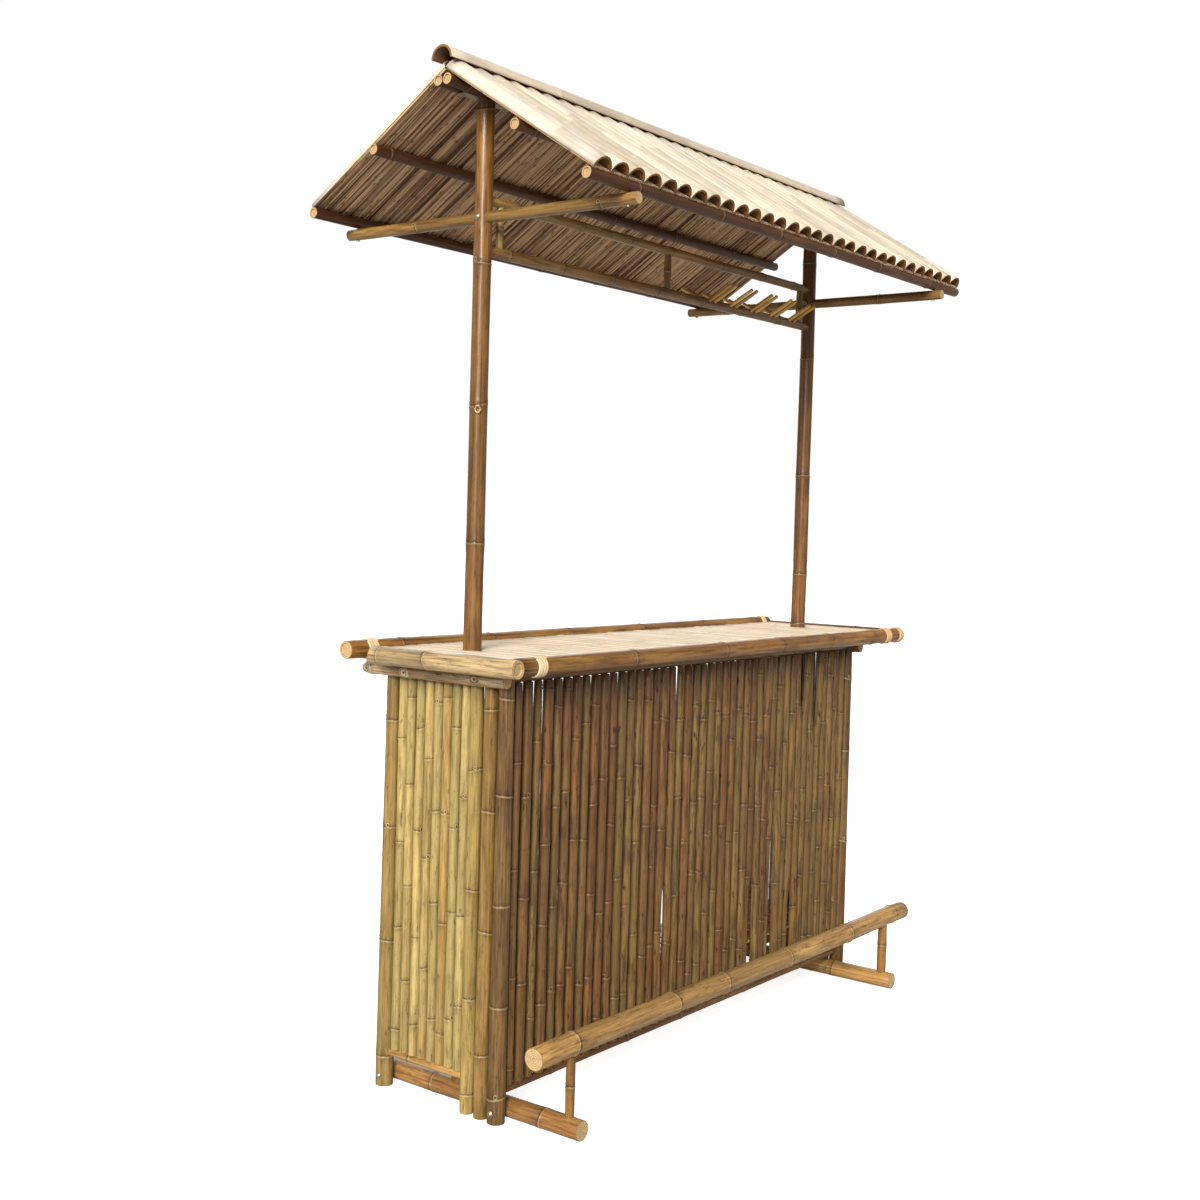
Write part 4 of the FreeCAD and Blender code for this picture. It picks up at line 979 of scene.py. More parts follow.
class HUT_OT_body_posts(HutOperator, bpy.types.Operator):
    """Grow the corner posts and the other upright posts of the counter body"""

    bl_idname = "hut.body_posts"
    bl_label = "Body posts"

    # Kind of post, its skin, its sides and its kink
    KINDS = (("front_corner_post", "dark culm", 20, 0.0004), ("back_corner_post", "amber culm", 18, 0.0004),
             ("end_frame_post", "amber culm", 16, 0.0008), ("filler_pole", "amber culm", 16, 0.0008))

    def execute(self, context):
        spacing = context.scene.hut_sizes.pole_spacing * 1.1
        for order, (kind, skin, sides, kink) in enumerate(self.KINDS):
            for number, side in enumerate(SIDES):
                node = kind + "_" + side
                grow_node(node, Z, 11 + 10 * order + number, node + "_culm", skin, "honey_bamboo", spacing, sides,
                          kink=kink)
        return {"FINISHED"}


class HUT_OT_end_panels(HutOperator, bpy.types.Operator):
    """Grow the slats, rails and inner strips of the two end panels"""

    bl_idname = "hut.end_panels"
    bl_label = "End panels"

    def execute(self, context):
        sizes = context.scene.hut_sizes
        for number, side in enumerate(SIDES):
            grow_node("end_panel_slats_" + side, Z, 101 + number, "end_panel_culms_" + side, "straw culm",
                      "green_bamboo", sizes.pole_spacing, 14, (1.03, 0.96), kink=sizes.pole_kink)
            grow_node("end_panel_rails_" + side, Y, 111 + number, "end_panel_rail_culms_" + side, "tawny culm",
                      "green_bamboo", 0.19, 14)
            node = "end_panel_ledgers_" + side
            grower = Grower(121 + number)
            for solid in solids_of(node):
                square_strip(grower, solid, Y, Z, -X, 0.06, 0.22, 0.1)
            grower.finish(node + "_strips", finishes("straw culm"), "green_bamboo", [node])
        return {"FINISHED"}


class HUT_OT_front_panel(HutOperator, bpy.types.Operator):
    """Grow the thin poles of the front panel and the rails they stand between"""

    bl_idname = "hut.front_panel"
    bl_label = "Front panel"

    # Slits: place along the panel, from and to which height, lean sideways and forwards, and thinning
    SLITS = ((-0.564, 0.94, 1.10, 0.0002, 0.0002, 0.02), (-0.467, 0.92, 1.10, 0.0002, 0.0002, 0.02),
             (-0.371, 0.88, 1.10, 0.0003, 0.0004, 0.03), (-0.130, 0.80, 1.10, 0.0006, 0.0014, 0.05),
             (0.029, 0.86, 1.10, 0.0005, 0.0024, 0.05), (0.303, 0.82, 1.10, 0.0010, 0.0095, 0.10),
             (0.508, 0.80, 1.10, 0.0010, 0.0125, 0.14), (0.579, 0.74, 1.10, 0.0010, 0.0130, 0.14),
             (-0.172, 0.20, 0.46, 0.0008, 0.0054, 0.13), (0.260, 0.06, 0.42, 0.0008, 0.0098, 0.20),
             (0.360, 0.06, 0.55, 0.0008, 0.0105, 0.20), (0.470, 0.06, 0.36, 0.0008, 0.0105, 0.20))
    SLIT_RUN = 0.07             # a slit opens and closes over this height
    SLIT_SHARES = (0.3, -0.7)   # of the lean forwards, for the pole on its left and on its right
    THICKNESS = (1.0, 1.06)     # of a pole, in shares of its CAD radius
    SPREAD = (0.75, 1.4)        # of the distance between the nodes

    def execute(self, context):
        sizes = context.scene.hut_sizes
        grower = Grower(201)
        lines = sorted(culm_lines("front_panel_poles", Z), key=lambda line: line[0][0])
        leans = self.pole_leans([float(line[0][0]) for line in lines])
        for (start, end, foot, tip), slits in zip(lines, leans):
            change = grower.chance.uniform(*self.THICKNESS)
            grow_culm(grower, start, end, foot * change, tip * change, None,
                      sizes.pole_spacing * grower.chance.uniform(*self.SPREAD), 14, kink=sizes.pole_kink,
                      lean=self.lean_curve(slits, start[2], end[2] - start[2]), ridge=0.0016)
        grower.finish("front_panel_culms", finishes("brown culm"), "brown_bamboo", ["front_panel_poles"])
        for seed, node in ((211, "front_bottom_rail"), (212, "front_top_rail")):
            grow_node(node, X, seed, node + "_culm", "honey culm", "brown_bamboo", 0.28)
        return {"FINISHED"}

    def pole_leans(self, places):
        """For each pole: the slits beside it as heights, lean along the panel, lean forwards and thinning."""
        leans = [[] for _ in places]
        for slit, low, high, aside, forward, thinning in self.SLITS:
            left = max(number for number, place in enumerate(places) if place < slit)
            for pole, way, share in zip((left, left + 1), (-1.0, 1.0), self.SLIT_SHARES):
                leans[pole].append((low, high, way * aside, forward * share, thinning))
        return leans

    def lean_curve(self, slits, foot, length):
        """How far a pole leans aside and backwards, and how thin it is there, from its foot, 0, to its top, 1."""
        def lean(share):
            height = foot + share * length
            aside, back, thin = 0.0, 0.0, 1.0
            for low, high, sideways, forward, thinning in slits:
                inside = min(height - low, high - height) / self.SLIT_RUN
                weight = min(1.0, max(0.0, inside))
                aside += sideways * weight
                back += forward * weight
                thin -= thinning * weight
            return aside, back, thin
        return lean


class HUT_OT_shelves(HutOperator, bpy.types.Operator):
    """Grow the rails and the slats of the two shelves behind the front panel"""

    bl_idname = "hut.shelves"
    bl_label = "Shelves"

    def execute(self, context):
        grow_node("shelf_rails", X, 301, "shelf_rail_culms", "honey culm", "honey_bamboo", 0.30)
        for seed, name in ((311, "lower_shelf"), (312, "upper_shelf")):
            grower = Grower(seed)
            for solid in solids_of(name + "_slats"):
                square_strip(grower, solid, Y, X, Z, 0.05, 0.25, 0.1, 0.0003)
            piece = grower.finish(name + "_strips", finishes("honey culm"), "pale_split_bamboo", [name + "_slats"])
            cut_for_roof_posts(piece)
        return {"FINISHED"}


POST_CLEARANCE = 0.001      # round a roof post, as in the CAD
DRILL_SIDES = 40


def cut_for_roof_posts(piece):
    """Cuts the holes that the two roof posts pass through."""
    for side in SIDES:
        start, end, foot, tip = culm_lines("roof_post_" + side, Z)[0]
        drill = bpy.data.meshes.new("post drill")
        shape = bmesh.new()
        bmesh.ops.create_cone(shape, cap_ends=True, segments=DRILL_SIDES, radius1=foot + POST_CLEARANCE,
                              radius2=tip + POST_CLEARANCE, depth=float(end[2] - start[2]))
        shape.to_mesh(drill)
        shape.free()
        tool = bpy.data.objects.new("post drill", drill)
        tool.location = (start + end) / 2
        bpy.context.scene.collection.objects.link(tool)
        cut = piece.modifiers.new("post hole", "BOOLEAN")
        cut.operation = "DIFFERENCE"
        cut.solver = "EXACT"
        cut.object = tool
        bpy.context.view_layer.update()
        shown = piece.evaluated_get(bpy.context.evaluated_depsgraph_get())
        drilled = bpy.data.meshes.new_from_object(shown)
        piece.modifiers.remove(cut)
        plain, piece.data = piece.data, drilled
        bpy.data.meshes.remove(plain)
        bpy.data.objects.remove(tool)
        bpy.data.meshes.remove(drill)


class HUT_OT_foot_rail(HutOperator, bpy.types.Operator):
    """Grow the foot logs, the foot rail and its pegs"""

    bl_idname = "hut.foot_rail"
    bl_label = "Foot rail"

    def execute(self, context):
        for number, side in enumerate(SIDES):
            node = "foot_log_" + side
            grow_node(node, Y, 401 + number, node + "_culm", "tawny culm", "honey_bamboo", sides=22,
                      thick=(0.985, 0.985), step=0.05)
        grow_node("foot_rail", X, 411, "foot_rail_culm", "tawny culm", "honey_bamboo", sides=26, thick=(1.0, 0.97),
                  step=0.05, kink=0.002, ridge=0.0022)
        grow_node("foot_rail_pegs", Z, 421, "foot_rail_peg_culms", "honey culm", "honey_bamboo", 0.12,
                  thick=(1.0, 0.97), step=0.05)
        return {"FINISHED"}


class HUT_OT_counter_rim(HutOperator, bpy.types.Operator):
    """Grow the bearers and the four rim poles of the counter, and wind their lashings"""

    bl_idname = "hut.counter_rim"
    bl_label = "Counter rim"

    # Rim pole, its axis, the poles that its two ends meet, and its skin
    RIMS = (("front", X, ("left", None), "auburn culm"), ("back", X, (None, "right"), "auburn culm"),
            ("left", Y, (None, "back"), "tan culm"), ("right", Y, ("front", None), "honey culm"))
    POLE_GAP = 0.0002   # left where two poles meet
    BUTT_STAIN = 0.06   # how far the stain runs up from the left end of the front pole
    SAME_POLE = 0.005   # turns of one run lie level within this
    NEXT_TURN = 0.004   # and are no further apart than this
    OLD_CANE = 1.3      # how much browner the lashings of the right end are
    KNOT_RADIUS = 0.013
    KNOT_RISE = 0.008
    KNOT_TURNS = (-0.1, -0.2, 0.0)

    def execute(self, context):
        for order, rim in enumerate(self.RIMS):
            self.grow_rim(501 + order, context.scene.hut_sizes.bore_sink, *rim)
        for number, side in enumerate(SIDES):
            node = "counter_bearer_" + side
            grower = Grower(511 + number)
            start, end, foot, tip = culm_lines(node, Y)[0]
            grow_culm(grower, start, end, foot, tip, scars_of(node, start, Y), sides=20, step=0.05, kink=0.0004)
            # The left bearer's pale culm is painted light against the rim's shade.
            outward, skin = (-X, "pale culm") if side == "left" else (X, "honey culm")
            for place, turn in zip(SCAR_PLACES[node], self.KNOT_TURNS):
                middle = np.array((start[0], place + self.KNOT_RISE, start[2]))
                facing = outward * math.cos(turn) + Z * math.sin(turn)
                grow_knot(grower, middle, foot, facing, Y, self.KNOT_RADIUS)
            grower.finish(node + "_culm", finishes(skin), "honey_bamboo", [node])
        self.wind_lashings()
        return {"FINISHED"}

    def grow_rim(self, seed, sink, name, axis, meets, skin):
        """A rim pole, with each end coped to the pole that it meets."""
        node = "counter_rim_" + name
        grower = Grower(seed)
        start, end, foot, tip = culm_lines(node, axis)[0]
        reach = max(foot, tip)
        cross = Y if axis is X else X
        copes = [None, None]
        for at, other in enumerate(meets):
            if other is None:
                continue
            met = culm_lines("counter_rim_" + other, cross)[0][0]
            crossed = float(met @ axis)
            bearing = reach + (self.lashing_thickness() if other == "back" else 0.0) + self.POLE_GAP
            copes[at] = (bearing, cross, float(start[2] - met[2]))
            if at == 0:
                start += axis * (crossed + bearing - float(start @ axis))
            else:
                end += axis * (crossed - bearing - float(end @ axis))
        grow_culm(grower, start, end, reach, reach, scars_of(node, start, axis), sides=22, step=0.03, copes=copes,
                  hollow=sink, kink=0.0004, stained=self.BUTT_STAIN if name == "front" else 0.0)
        grower.finish(node + "_culm", finishes(skin), "honey_bamboo", [node])

    def lashing_thickness(self):
        band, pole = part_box("rim_lashings"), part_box("counter_rim_front")
        return band[1].z - pole[1].z

    def wind_lashings(self):
        """One winding strip for each run of neighbouring turns."""
        turns = sorted(((solid.min(0), solid.max(0)) for solid in solids_of("rim_lashings")),
                       key=lambda box: (round(box[0][1], 3), box[0][0]))
        runs = []
        for low, high in turns:
            last = runs[-1] if runs else None
            if last and abs(low[1] - last[0][1]) < self.SAME_POLE and low[0] - last[1][0] < self.NEXT_TURN:
                runs[-1] = (last[0], high, last[2] + 1)
            else:
                runs.append((low, high, 1))
        grower = Grower(521)
        for low, high, count in runs:
            wind_strip(grower, low, high, count, self.OLD_CANE if low[0] > 0.0 else 0.0)
        strip = hut_materials()["rattan strip"]
        grower.finish("rim_lashing_windings", [strip] * 3, "rattan", ["rim_lashings"], False)


STRIP_THICKNESS = 0.0028
STRIP_SINK = 0.0003
STRIP_STEPS = 34            # for each turn
STRIP_START = 2.2           # where round the pole it begins, in radians
STRIP_WAVER = 0.0005
STRIP_SHARE = 0.93          # of the width of one turn
STRIP_SECTION = ((-0.5, 0.0), (-0.42, 0.75), (-0.15, 1.0), (0.15, 1.0), (0.42, 0.75), (0.5, 0.0))


def wind_strip(grower, low, high, turns, browning):
    """A flat cane strip wound round a rim pole, from one end of its run to the other."""
    middle = (low + high) / 2
    outer = (high[2] - low[2]) / 2
    width = (high[0] - low[0]) / turns * STRIP_SHARE
    offset = grower.cane_place()
    makeup = (1.0, grower.chance.random() + browning, grower.chance.random())
    rings = []
    total = STRIP_STEPS * turns
    for number in range(total + 1):
        angle = math.tau * number / STRIP_STEPS + STRIP_START
        slide = low[0] + width / 2 + (high[0] - low[0] - width) * number / total
        waver = STRIP_WAVER * math.sin(3 * angle)
        corners, cane = [], []
        for across, rise in STRIP_SECTION:
            reach = outer - STRIP_THICKNESS + STRIP_THICKNESS * rise - STRIP_SINK
            corners.append((slide + across * width + waver, middle[1] + reach * math.cos(angle),
                            middle[2] + reach * math.sin(angle)))
            cane.append(np.array((across * width, rise * STRIP_THICKNESS, angle * outer)) + offset)
        rings.append(grower.add_corners(corners, cane, NO_MARKS, makeup))
    count = len(STRIP_SECTION)
    grower.bridge(rings, count, SKIN)
    grower.add_face(range(rings[0], rings[0] + count)[::-1], SKIN)
    grower.add_face(range(rings[-1], rings[-1] + count), SKIN)


class HUT_OT_counter_top(HutOperator, bpy.types.Operator):
    """Lay the battens and the split slats of the counter"""

    bl_idname = "hut.counter_top"
    bl_label = "Counter top"

    # Places across the rounded top of a slat, and how far each lies below its crown
    CROWN = ((0.5, 0.0034), (0.46, 0.0016), (0.25, 0.0004), (0.0, 0.0), (-0.25, 0.0004), (-0.46, 0.0016),
             (-0.5, 0.0034))
    FOOT = 0.0008               # height of the small bevel along its base
    UNEVEN = (-0.0010, 0.0002)  # how much the slats differ in height
    RIM_GAP = 0.0004            # between a slat and the rim pole that it meets

    def execute(self, context):
        grow_node("counter_battens", X, 601, "counter_batten_culms", "honey culm", "honey_bamboo", 0.27, 14)
        front, back = (culm_lines("counter_rim_" + name, X)[0] for name in FACES)
        boxes = slat_boxes("counter_slats")
        base = min(low[2] for low, _ in boxes)
        thick = max(high[2] for _, high in boxes) - base
        copes = tuple(self.coped(max(front[2:]) + self.RIM_GAP, base - rim[0][2]) for rim in (front, back))
        waver = context.scene.hut_sizes.slat_waver * 0.4
        grower = Grower(611)
        for low, high in boxes:
            middle = (low[0] + high[0]) / 2
            rise = thick + grower.chance.uniform(*self.UNEVEN)
            outline = [(-0.49, 0.0, False), (0.49, 0.0, False), (0.5, self.FOOT, False)]
            outline += [(across, rise - below, True) for across, below in self.CROWN] + [(-0.5, self.FOOT, False)]
            grow_slat(grower, (middle, front[0][1], base), (middle, back[0][1], base), X, Z, high[0] - low[0],
                      outline, 0.30, 0.08, waver, copes)
        piece = grower.finish("counter_strips", finishes("planed slat"), "pale_split_bamboo", ["counter_slats"])
        cut_for_roof_posts(piece)
        return {"FINISHED"}

    def coped(self, reach, lift):
        """How far short of the rim pole's middle a slat stops, at a height above the slat's base."""
        return lambda height: math.sqrt(max(reach ** 2 - (lift + height) ** 2, 0.0))


SLAT_OVERLAP = 0.002        # pieces that share more than this of their width are one slat


def slat_boxes(node):
    """The boxes of parallel slats, with pieces of one slat, cut apart by a hole, joined again."""
    boxes = []
    for solid in sorted(solids_of(node), key=lambda corners: corners[:, 0].min()):
        low, high = solid.min(0), solid.max(0)
        if boxes and low[0] < boxes[-1][1][0] - SLAT_OVERLAP:
            boxes[-1] = (np.minimum(boxes[-1][0], low), np.maximum(boxes[-1][1], high))
        else:
            boxes.append((low, high))
    return boxes


class HUT_OT_roof_posts(HutOperator, bpy.types.Operator):
    """Grow the two roof posts and their cross arms"""

    bl_idname = "hut.roof_posts"
    bl_label = "Roof posts"

    FOOT_THINNING = 0.985
    KNOT_FACING = np.array((-0.80, -0.60, 0.0))
    KNOT_RADIUS = 0.010
    KNOT_NODE = 4       # the branch stood just below this node of the left post
    ARM_REACH = 0.006   # how far an arm runs on into its post
    ARM_COPE = 1.1      # radius of the cope in an arm, as a share of the post's

    def execute(self, context):
        for number, side in enumerate(SIDES):
            node = "roof_post_" + side
            grower = Grower(701 + number)
            start, end, foot, tip = culm_lines(node, Z)[0]
            grow_culm(grower, start, end, foot * self.FOOT_THINNING, tip, scars_of(node, start, Z), sides=26,
                      step=0.06, kink=0.0012)
            if side == "left":
                height = SCAR_PLACES[node][self.KNOT_NODE] - self.KNOT_RADIUS
                share = (height - start[2]) / (end[2] - start[2])
                grow_knot(grower, start + (end - start) * share, (foot + (tip - foot) * share) * self.FOOT_THINNING,
                          self.KNOT_FACING, Z, self.KNOT_RADIUS)
            grower.finish(node + "_culm", finishes("honey culm"), "honey_bamboo", [node])
            for order, face in enumerate(FACES):
                self.grow_arm(711 + 2 * order + number, face, side, max(foot, tip))
        return {"FINISHED"}

    def grow_arm(self, seed, face, side, post_radius):
        node = "cross_arm_" + face + "_" + side
        grower = Grower(seed)
        start, end, foot, tip = culm_lines(node, Y)[0]
        scars = scars_of(node, start, Y)
        copes = [None, (post_radius * self.ARM_COPE, Z, 0.0)]
        if face == "front":
            end = end + Y * self.ARM_REACH
        else:
            start = start - Y * self.ARM_REACH
            copes.reverse()
        reach = max(foot, tip) * 0.99
        grow_culm(grower, start, end, reach, reach, scars, sides=20, step=0.05, copes=copes, kink=0.0008)
        grower.finish(node + "_culm", finishes("olive culm"), "honey_bamboo", [node])


class HUT_OT_roof_frame(HutOperator, bpy.types.Operator):
    """Grow the ridge poles and the purlins"""

    bl_idname = "hut.roof_frame"
    bl_label = "Roof frame"

    def execute(self, context):
        sizes = context.scene.hut_sizes
        for order, kind in enumerate(("ridge_pole", "middle_purlin", "eave_purlin")):
            for number, face in enumerate(FACES):
                node = kind + "_" + face
                # The umber culm paints the shade under the roof into the skin of the ridge poles and purlins.
                grow_node(node, X, 801 + 10 * order + number, node + "_culm", "umber culm", "honey_bamboo",
                          sizes.post_spacing * 0.85, 18, step=0.06, kink=0.0008, hollow=sizes.bore_sink)
        return {"FINISHED"}


def slope_axes(face):
    """Down the slope and square to it, for the front or the back of the roof."""
    slat = solids_of("ceiling_slats_" + face)[0]
    ridge = slat[slat[:, 2].argmax()]
    eave = slat[np.abs(slat[:, 1]).argmax()]
    down = (eave - ridge) * (0.0, 1.0, 1.0)
    down /= np.linalg.norm(down)
    return down, np.array((0.0, abs(down[2]) * math.copysign(1.0, down[1]), abs(down[1])))


class HUT_OT_ceiling(HutOperator, bpy.types.Operator):
    """Lay the split slats of the ceiling under the roof covering"""

    bl_idname = "hut.ceiling"
    bl_label = "Ceiling"

    STRIP_GAP = 0.0012
    SPLITS = ((0.27, 0.39), (0.61, 0.73))   # where across a slat it is split
    UNEVEN = (-0.0012, 0.0006)
    BELLY = ((-0.5, 0.0014), (-0.36, 0.0004), (0.0, 0.0), (0.36, 0.0004), (0.5, 0.0014))

    def execute(self, context):
        waver = context.scene.hut_sizes.slat_waver
        for number, face in enumerate(FACES):
            node = "ceiling_slats_" + face
            grower = Grower(901 + number)
            down, square = slope_axes(face)
            for solid in solids_of(node):
                low, width = solid[:, 0].min(), solid[:, 0].max() - solid[:, 0].min()
                run, rise = solid @ down, solid @ square
                thick = rise.max() - rise.min()
                start = X * low + down * run.min() + square * rise.min()
                end = start + down * (run.max() - run.min())
                splits = [0.0] + [width * grower.chance.uniform(*share) for share in self.SPLITS] + [width]
                for left, right in zip(splits, splits[1:]):
                    self.lay_strip(grower, start, end, left, right, square, thick, waver)
            grower.finish("ceiling_strips_" + face, finishes("roof culm", inside="ceiling slat"),
                          "dark_split_bamboo", [node])
        return {"FINISHED"}

    def lay_strip(self, grower, start, end, left, right, square, thick, waver):
        """One narrow strip between two places across a slat, rounded below, with a gap beside it."""
        middle = X * (left + right) / 2
        drop = grower.chance.uniform(*self.UNEVEN)
        outline = [(beside, height + drop, False) for beside, height in self.BELLY]
        outline += [(0.5, thick, True), (-0.5, thick, True)]
        across = X if square[1] > 0 else -X
        grow_slat(grower, start + middle, end + middle, across, square, right - left - self.STRIP_GAP, outline,
                  0.27, 0.16, waver)


class HUT_OT_roof_covering(HutOperator, bpy.types.Operator):
    """Lay the split culms of the roof and the split culm over the ridge"""

    bl_idname = "hut.roof_covering"
    bl_label = "Roof covering"

    EAVE_TRIM = (0.0, 0.004)    # how much shorter a culm may be
    WALL_CHANGE = (0.85, 1.15)
    SEPTUM_SHARE = 0.3          # of the culms show a septum near the eave
    SEPTUM_DEPTH = (0.06, 0.12)
    CAP_SHARE = 0.985           # of the CAD radius, which leaves room for its nodes

    def execute(self, context):
        for number, face in enumerate(FACES):
            node = "roof_pipes_" + face
            grower = Grower(1001 + number)
            down, square = slope_axes(face)
            for solid in solids_of(node):
                self.lay_pipe(grower, solid, down, square)
            grower.finish(node + "_culms", finishes("roof culm", "weathered end", "pipe inside"),
                          "weathered_split_bamboo", [node])
        self.lay_cap()
        return {"FINISHED"}

    def lay_cap(self):
        cap = solids_of("ridge_cap")[0]
        low, high = cap.min(0), cap.max(0)
        radius = (high[1] - low[1]) / 2
        wall = radius - np.abs(cap[np.isclose(cap[:, 2], low[2], atol=NEAR_FACE), 1]).min()
        grower = Grower(1011)
        grow_half_culm(grower, (low[0], 0.0, low[2]), (high[0], 0.0, low[2]), radius * self.CAP_SHARE, wall, Z,
                       math.pi / 2, 0.30, 16, 0.06)
        # Its inside is painted dark as the shade under the cap.
        grower.finish("ridge_cap_culm", finishes("roof culm", "weathered end", "cap inside"),
                      "weathered_split_bamboo", ["ridge_cap"])

    def lay_pipe(self, grower, solid, down, square):
        """A split culm of the covering, with the curve and the wall of its CAD solid."""
        run, rise = solid @ down, solid @ square
        middle = (solid[:, 0].min() + solid[:, 0].max()) / 2
        half_width = (solid[:, 0].max() - solid[:, 0].min()) / 2
        flat = rise.min()
        depth = rise.max() - flat
        radius = (half_width ** 2 + depth ** 2) / (2 * depth)
        sink = radius - depth
        inner = np.abs(solid[np.isclose(rise, flat, atol=NEAR_FACE), 0] - middle).min()
        wall = radius - math.hypot(inner, sink)
        start = X * middle + down * run.min() + square * (flat - sink)
        chance = grower.chance
        length = run.max() - run.min() - chance.uniform(*self.EAVE_TRIM)
        septum = length - chance.uniform(*self.SEPTUM_DEPTH) if chance.random() < self.SEPTUM_SHARE else None
        grow_half_culm(grower, start, start + down * length, radius, wall * chance.uniform(*self.WALL_CHANGE),
                       square, math.acos(sink / radius), 0.26, 12, 0.09, septum, 0.0006)


class HUT_OT_glass_rack(HutOperator, bpy.types.Operator):
    """Grow the rails, struts and pegs of the glass rack"""

    bl_idname = "hut.glass_rack"
    bl_label = "Glass rack"

    def execute(self, context):
        grow_node("glass_rack_rails", X, 1101, "glass_rack_rail_culms", "olive culm", "honey_bamboo", 0.21, 18,
                  step=0.06, kink=0.0012)
        grow_node("glass_rack_struts", Z, 1102, "glass_rack_strut_culms", "amber culm", "honey_bamboo", 0.06, 14,
                  step=0.03)
        grower = Grower(1103)
        for solid in solids_of("glass_rack_pegs"):
            start, end, radius = slanted_line(solid)
            grow_culm(grower, start, end, radius, radius * 0.96, [], sides=12, step=0.03, kink=0.0)
        # The stick culm is painted brighter as light on the pegs in the roof's shade.
        grower.finish("glass_rack_peg_sticks", finishes("stick culm"), "bamboo_sticks", ["glass_rack_pegs"])
        return {"FINISHED"}


PEG_ANGLES = range(200, 450)    # tried for the pegs, in tenths of a degree


def slanted_line(solid):
    """Both ends and the radius of a short round stick that lies in a YZ plane."""
    low, high = solid.min(0), solid.max(0)
    middle = (low + high) / 2
    radius = (high[0] - low[0]) / 2
    wide, tall = high[1] - low[1], high[2] - low[2]

    def length_at(angle):
        return (wide - 2 * radius * math.sin(angle)) / math.cos(angle)

    def miss(angle):
        return abs(length_at(angle) * math.sin(angle) + 2 * radius * math.cos(angle) - tall)

    angle = min((math.radians(tenth / 10.0) for tenth in PEG_ANGLES), key=miss)
    direction = np.array((0.0, math.copysign(math.cos(angle), middle[1]), math.sin(angle)))
    reach = direction * length_at(angle) / 2
    return middle - reach, middle + reach, radius


class HUT_OT_hardware(HutOperator, bpy.types.Operator):
    """Give the plates, screws, bolts and hidden dowels their finish"""

    bl_idname = "hut.hardware"
    bl_label = "Hardware"

    CLADDING = {"ridge_plates": "zinc plate", "roof_screws": "zinc plate", "frame_bolts": "zinc plate",
                "frame_nuts": "zinc plate", "arm_dowels": "whittled stick", "post_base_dowels": "whittled stick"}

    def execute(self, context):
        made = hut_materials()
        for node, finish in self.CLADDING.items():
            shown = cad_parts[node]
            if not shown.material_slots:
                raise RuntimeError("the node " + node + " has no material slot")
            for slot in shown.material_slots:
                slot.material = made[finish]
        return {"FINISHED"}


# Stage and camera

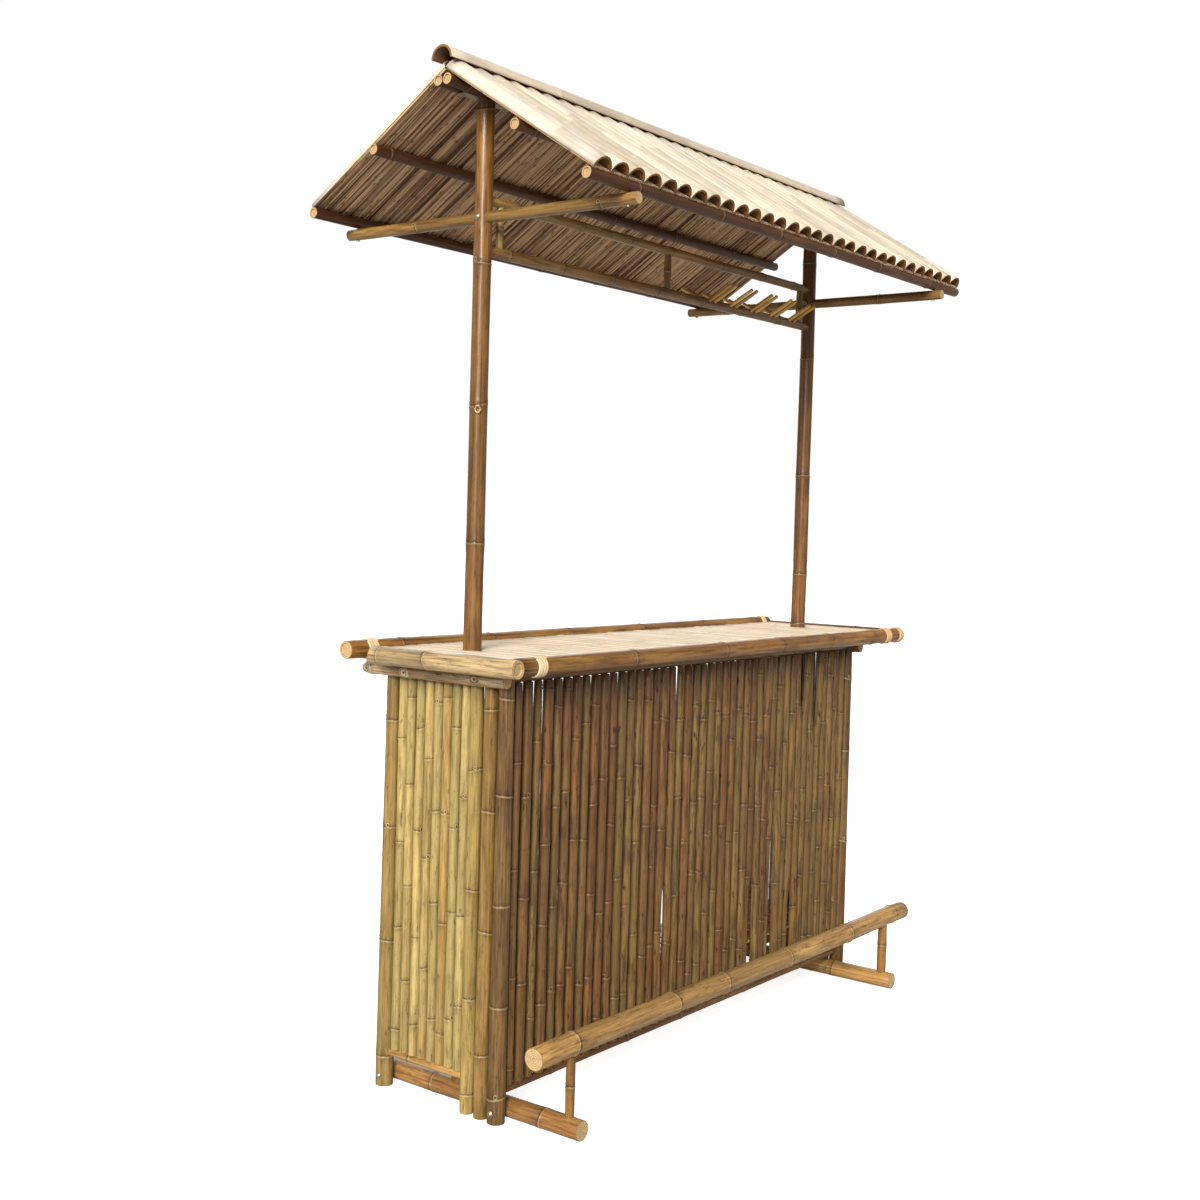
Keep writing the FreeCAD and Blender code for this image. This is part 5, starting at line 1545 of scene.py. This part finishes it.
class HUT_OT_stage(HutOperator, bpy.types.Operator):
    """Lay the pale floor, hang the soft lights and set up the camera"""

    bl_idname = "hut.stage"
    bl_label = "Stage"

    FLOOR_REACH = 60.0
    FLOOR_HEIGHT = -0.0005
    FLOOR_RINGS = 12
    FLOOR_SPOKES = 48
    FLOOR_GLOW = 0.75
    BOUNCE = 0.55               # share of the floor's paleness that lights the hut
    SOFT_LIGHT = 0.39
    # Name, strength, width in degrees, and the side that the light comes from
    LAMPS = (("window", 4.5, 26.0, (-0.83, -0.41, 0.38)), ("rear", 0.7, 50.0, (0.62, 0.70, 0.36)))
    CAMERA_PLACE = (-3.347, -2.3592, 1.3563)
    CAMERA_YAW = math.radians(52.552)
    CAMERA_PITCH = math.radians(-2.2155)
    CAMERA_ROLL = math.radians(1.6786)
    CAMERA_LENS = 45.513
    CAMERA_SHIFT = -0.0146

    def execute(self, context):
        self.lay_floor(context)
        self.light_world(context)
        for lamp in self.LAMPS:
            self.hang_light(context, *lamp)
        self.set_camera(context)
        context.scene.view_settings.view_transform = "Standard"
        return {"FINISHED"}

    def lay_floor(self, context):
        mesh = bpy.data.meshes.new("studio floor")
        rings, spokes = self.FLOOR_RINGS, self.FLOOR_SPOKES
        corners = [(0.0, 0.0, self.FLOOR_HEIGHT)]
        for ring in range(1, rings + 1):
            reach = self.FLOOR_REACH * (ring / rings) ** 2
            for spoke in range(spokes):
                turn = math.tau * spoke / spokes
                corners.append((reach * math.cos(turn), reach * math.sin(turn), self.FLOOR_HEIGHT))
        faces = [(0, 1 + spoke, 1 + (spoke + 1) % spokes) for spoke in range(spokes)]
        for ring in range(rings - 1):
            low, high = 1 + ring * spokes, 1 + (ring + 1) * spokes
            for spoke in range(spokes):
                after = (spoke + 1) % spokes
                faces.append((low + spoke, high + spoke, high + after, low + after))
        mesh.from_pydata(corners, [], faces)
        mesh.materials.append(self.floor_material())
        floor = bpy.data.objects.new("studio_floor", mesh)
        context.scene.collection.objects.link(floor)

    def floor_material(self):
        """Pale to the eye, and darker where its light falls on the hut."""
        material, w, shader = new_material("pale floor")
        place = w.add("ShaderNodeTexCoord").outputs["Object"]
        pale, shade = srgb(250, 250, 249), srgb(246, 246, 245)
        seen = w.mix(w.noise(place, (3, 3, 3), 4.0), pale, shade)
        dimmed = w.mix(1.0 - self.BOUNCE, seen, srgb(0, 0, 0))
        is_seen = w.add("ShaderNodeLightPath").outputs["Is Camera Ray"]
        w.feed(shader.inputs["Base Color"], w.mix(is_seen, dimmed, seen))
        w.feed(shader.inputs["Emission Strength"], w.times(is_seen, self.FLOOR_GLOW))
        shader.inputs["Emission Color"].default_value = pale
        shader.inputs["Roughness"].default_value = 0.9
        return material

    def light_world(self, context):
        """White walls to the eye, and a dimmer even light from all round."""
        world = bpy.data.worlds.new("studio")
        context.scene.world = world
        world.use_nodes = True
        tree = world.node_tree
        soft = tree.nodes["Background"]
        soft.inputs["Color"].default_value = (1.0, 0.985, 0.97, 1.0)
        soft.inputs["Strength"].default_value = self.SOFT_LIGHT
        wall = tree.nodes.new("ShaderNodeBackground")
        wall.inputs["Strength"].default_value = 1.0
        wall.inputs["Color"].default_value = (1.0, 1.0, 1.0, 1.0)
        path = tree.nodes.new("ShaderNodeLightPath")
        mix = tree.nodes.new("ShaderNodeMixShader")
        tree.links.new(path.outputs["Is Camera Ray"], mix.inputs[0])
        tree.links.new(soft.outputs[0], mix.inputs[1])
        tree.links.new(wall.outputs[0], mix.inputs[2])
        tree.links.new(mix.outputs[0], tree.nodes["World Output"].inputs["Surface"])

    def hang_light(self, context, name, strength, width, side):
        """A large soft light: the window on the left, or the weak one behind on the right."""
        lamp = bpy.data.lights.new(name, "SUN")
        lamp.energy = strength
        lamp.angle = math.radians(width)
        lamp.color = (1.0, 0.985, 0.955)
        light = bpy.data.objects.new(name, lamp)
        light.location = Vector(side) * 5.0
        light.rotation_euler = (-Vector(side)).to_track_quat("-Z", "Y").to_euler()
        context.scene.collection.objects.link(light)

    def set_camera(self, context):
        lens = bpy.data.cameras.new("view")
        lens.lens = self.CAMERA_LENS
        lens.sensor_width = 36.0
        lens.shift_y = self.CAMERA_SHIFT
        lens.clip_end = 100.0
        camera = bpy.data.objects.new("view", lens)
        yaw, pitch, roll = self.CAMERA_YAW, self.CAMERA_PITCH, self.CAMERA_ROLL
        ahead = Vector((math.sin(yaw) * math.cos(pitch), math.cos(yaw) * math.cos(pitch), math.sin(pitch)))
        level = Vector((math.cos(yaw), -math.sin(yaw), 0.0))
        above = level.cross(ahead)
        right = level * math.cos(roll) + above * math.sin(roll)
        up = above * math.cos(roll) - level * math.sin(roll)
        turn = Matrix((right, up, -ahead)).transposed().to_4x4()
        camera.matrix_world = Matrix.Translation(self.CAMERA_PLACE) @ turn
        context.scene.collection.objects.link(camera)
        context.scene.camera = camera


BUILD_ORDER = (HUT_OT_body_posts, HUT_OT_end_panels, HUT_OT_front_panel, HUT_OT_shelves, HUT_OT_foot_rail,
               HUT_OT_counter_rim, HUT_OT_counter_top, HUT_OT_roof_posts, HUT_OT_roof_frame, HUT_OT_ceiling,
               HUT_OT_roof_covering, HUT_OT_glass_rack, HUT_OT_hardware, HUT_OT_stage)


class HUT_PT_panel(bpy.types.Panel):
    """The pieces of the hut, their colours and their sizes"""

    bl_idname = "HUT_PT_panel"
    bl_label = "Bamboo Hut"
    bl_space_type = "VIEW_3D"
    bl_region_type = "UI"
    bl_category = "Bamboo Hut"

    def draw(self, context):
        for operator in BUILD_ORDER:
            self.layout.operator(operator.bl_idname)
        for group in (context.scene.hut_colours, context.scene.hut_sizes):
            box = self.layout.box()
            for key in group.__annotations__:
                box.prop(group, key)


CLASSES = (HutColours, HutSizes) + BUILD_ORDER + (HUT_PT_panel,)


def register():
    for made in CLASSES:
        bpy.utils.register_class(made)
    bpy.types.Scene.hut_colours = bpy.props.PointerProperty(type=HutColours)
    bpy.types.Scene.hut_sizes = bpy.props.PointerProperty(type=HutSizes)


def unregister():
    del bpy.types.Scene.hut_sizes
    del bpy.types.Scene.hut_colours
    for made in reversed(CLASSES):
        bpy.utils.unregister_class(made)


def main():
    register()
    for operator in BUILD_ORDER:
        group, name = operator.bl_idname.split(".")
        getattr(getattr(bpy.ops, group), name)()


if __name__ == "__main__":
    main()
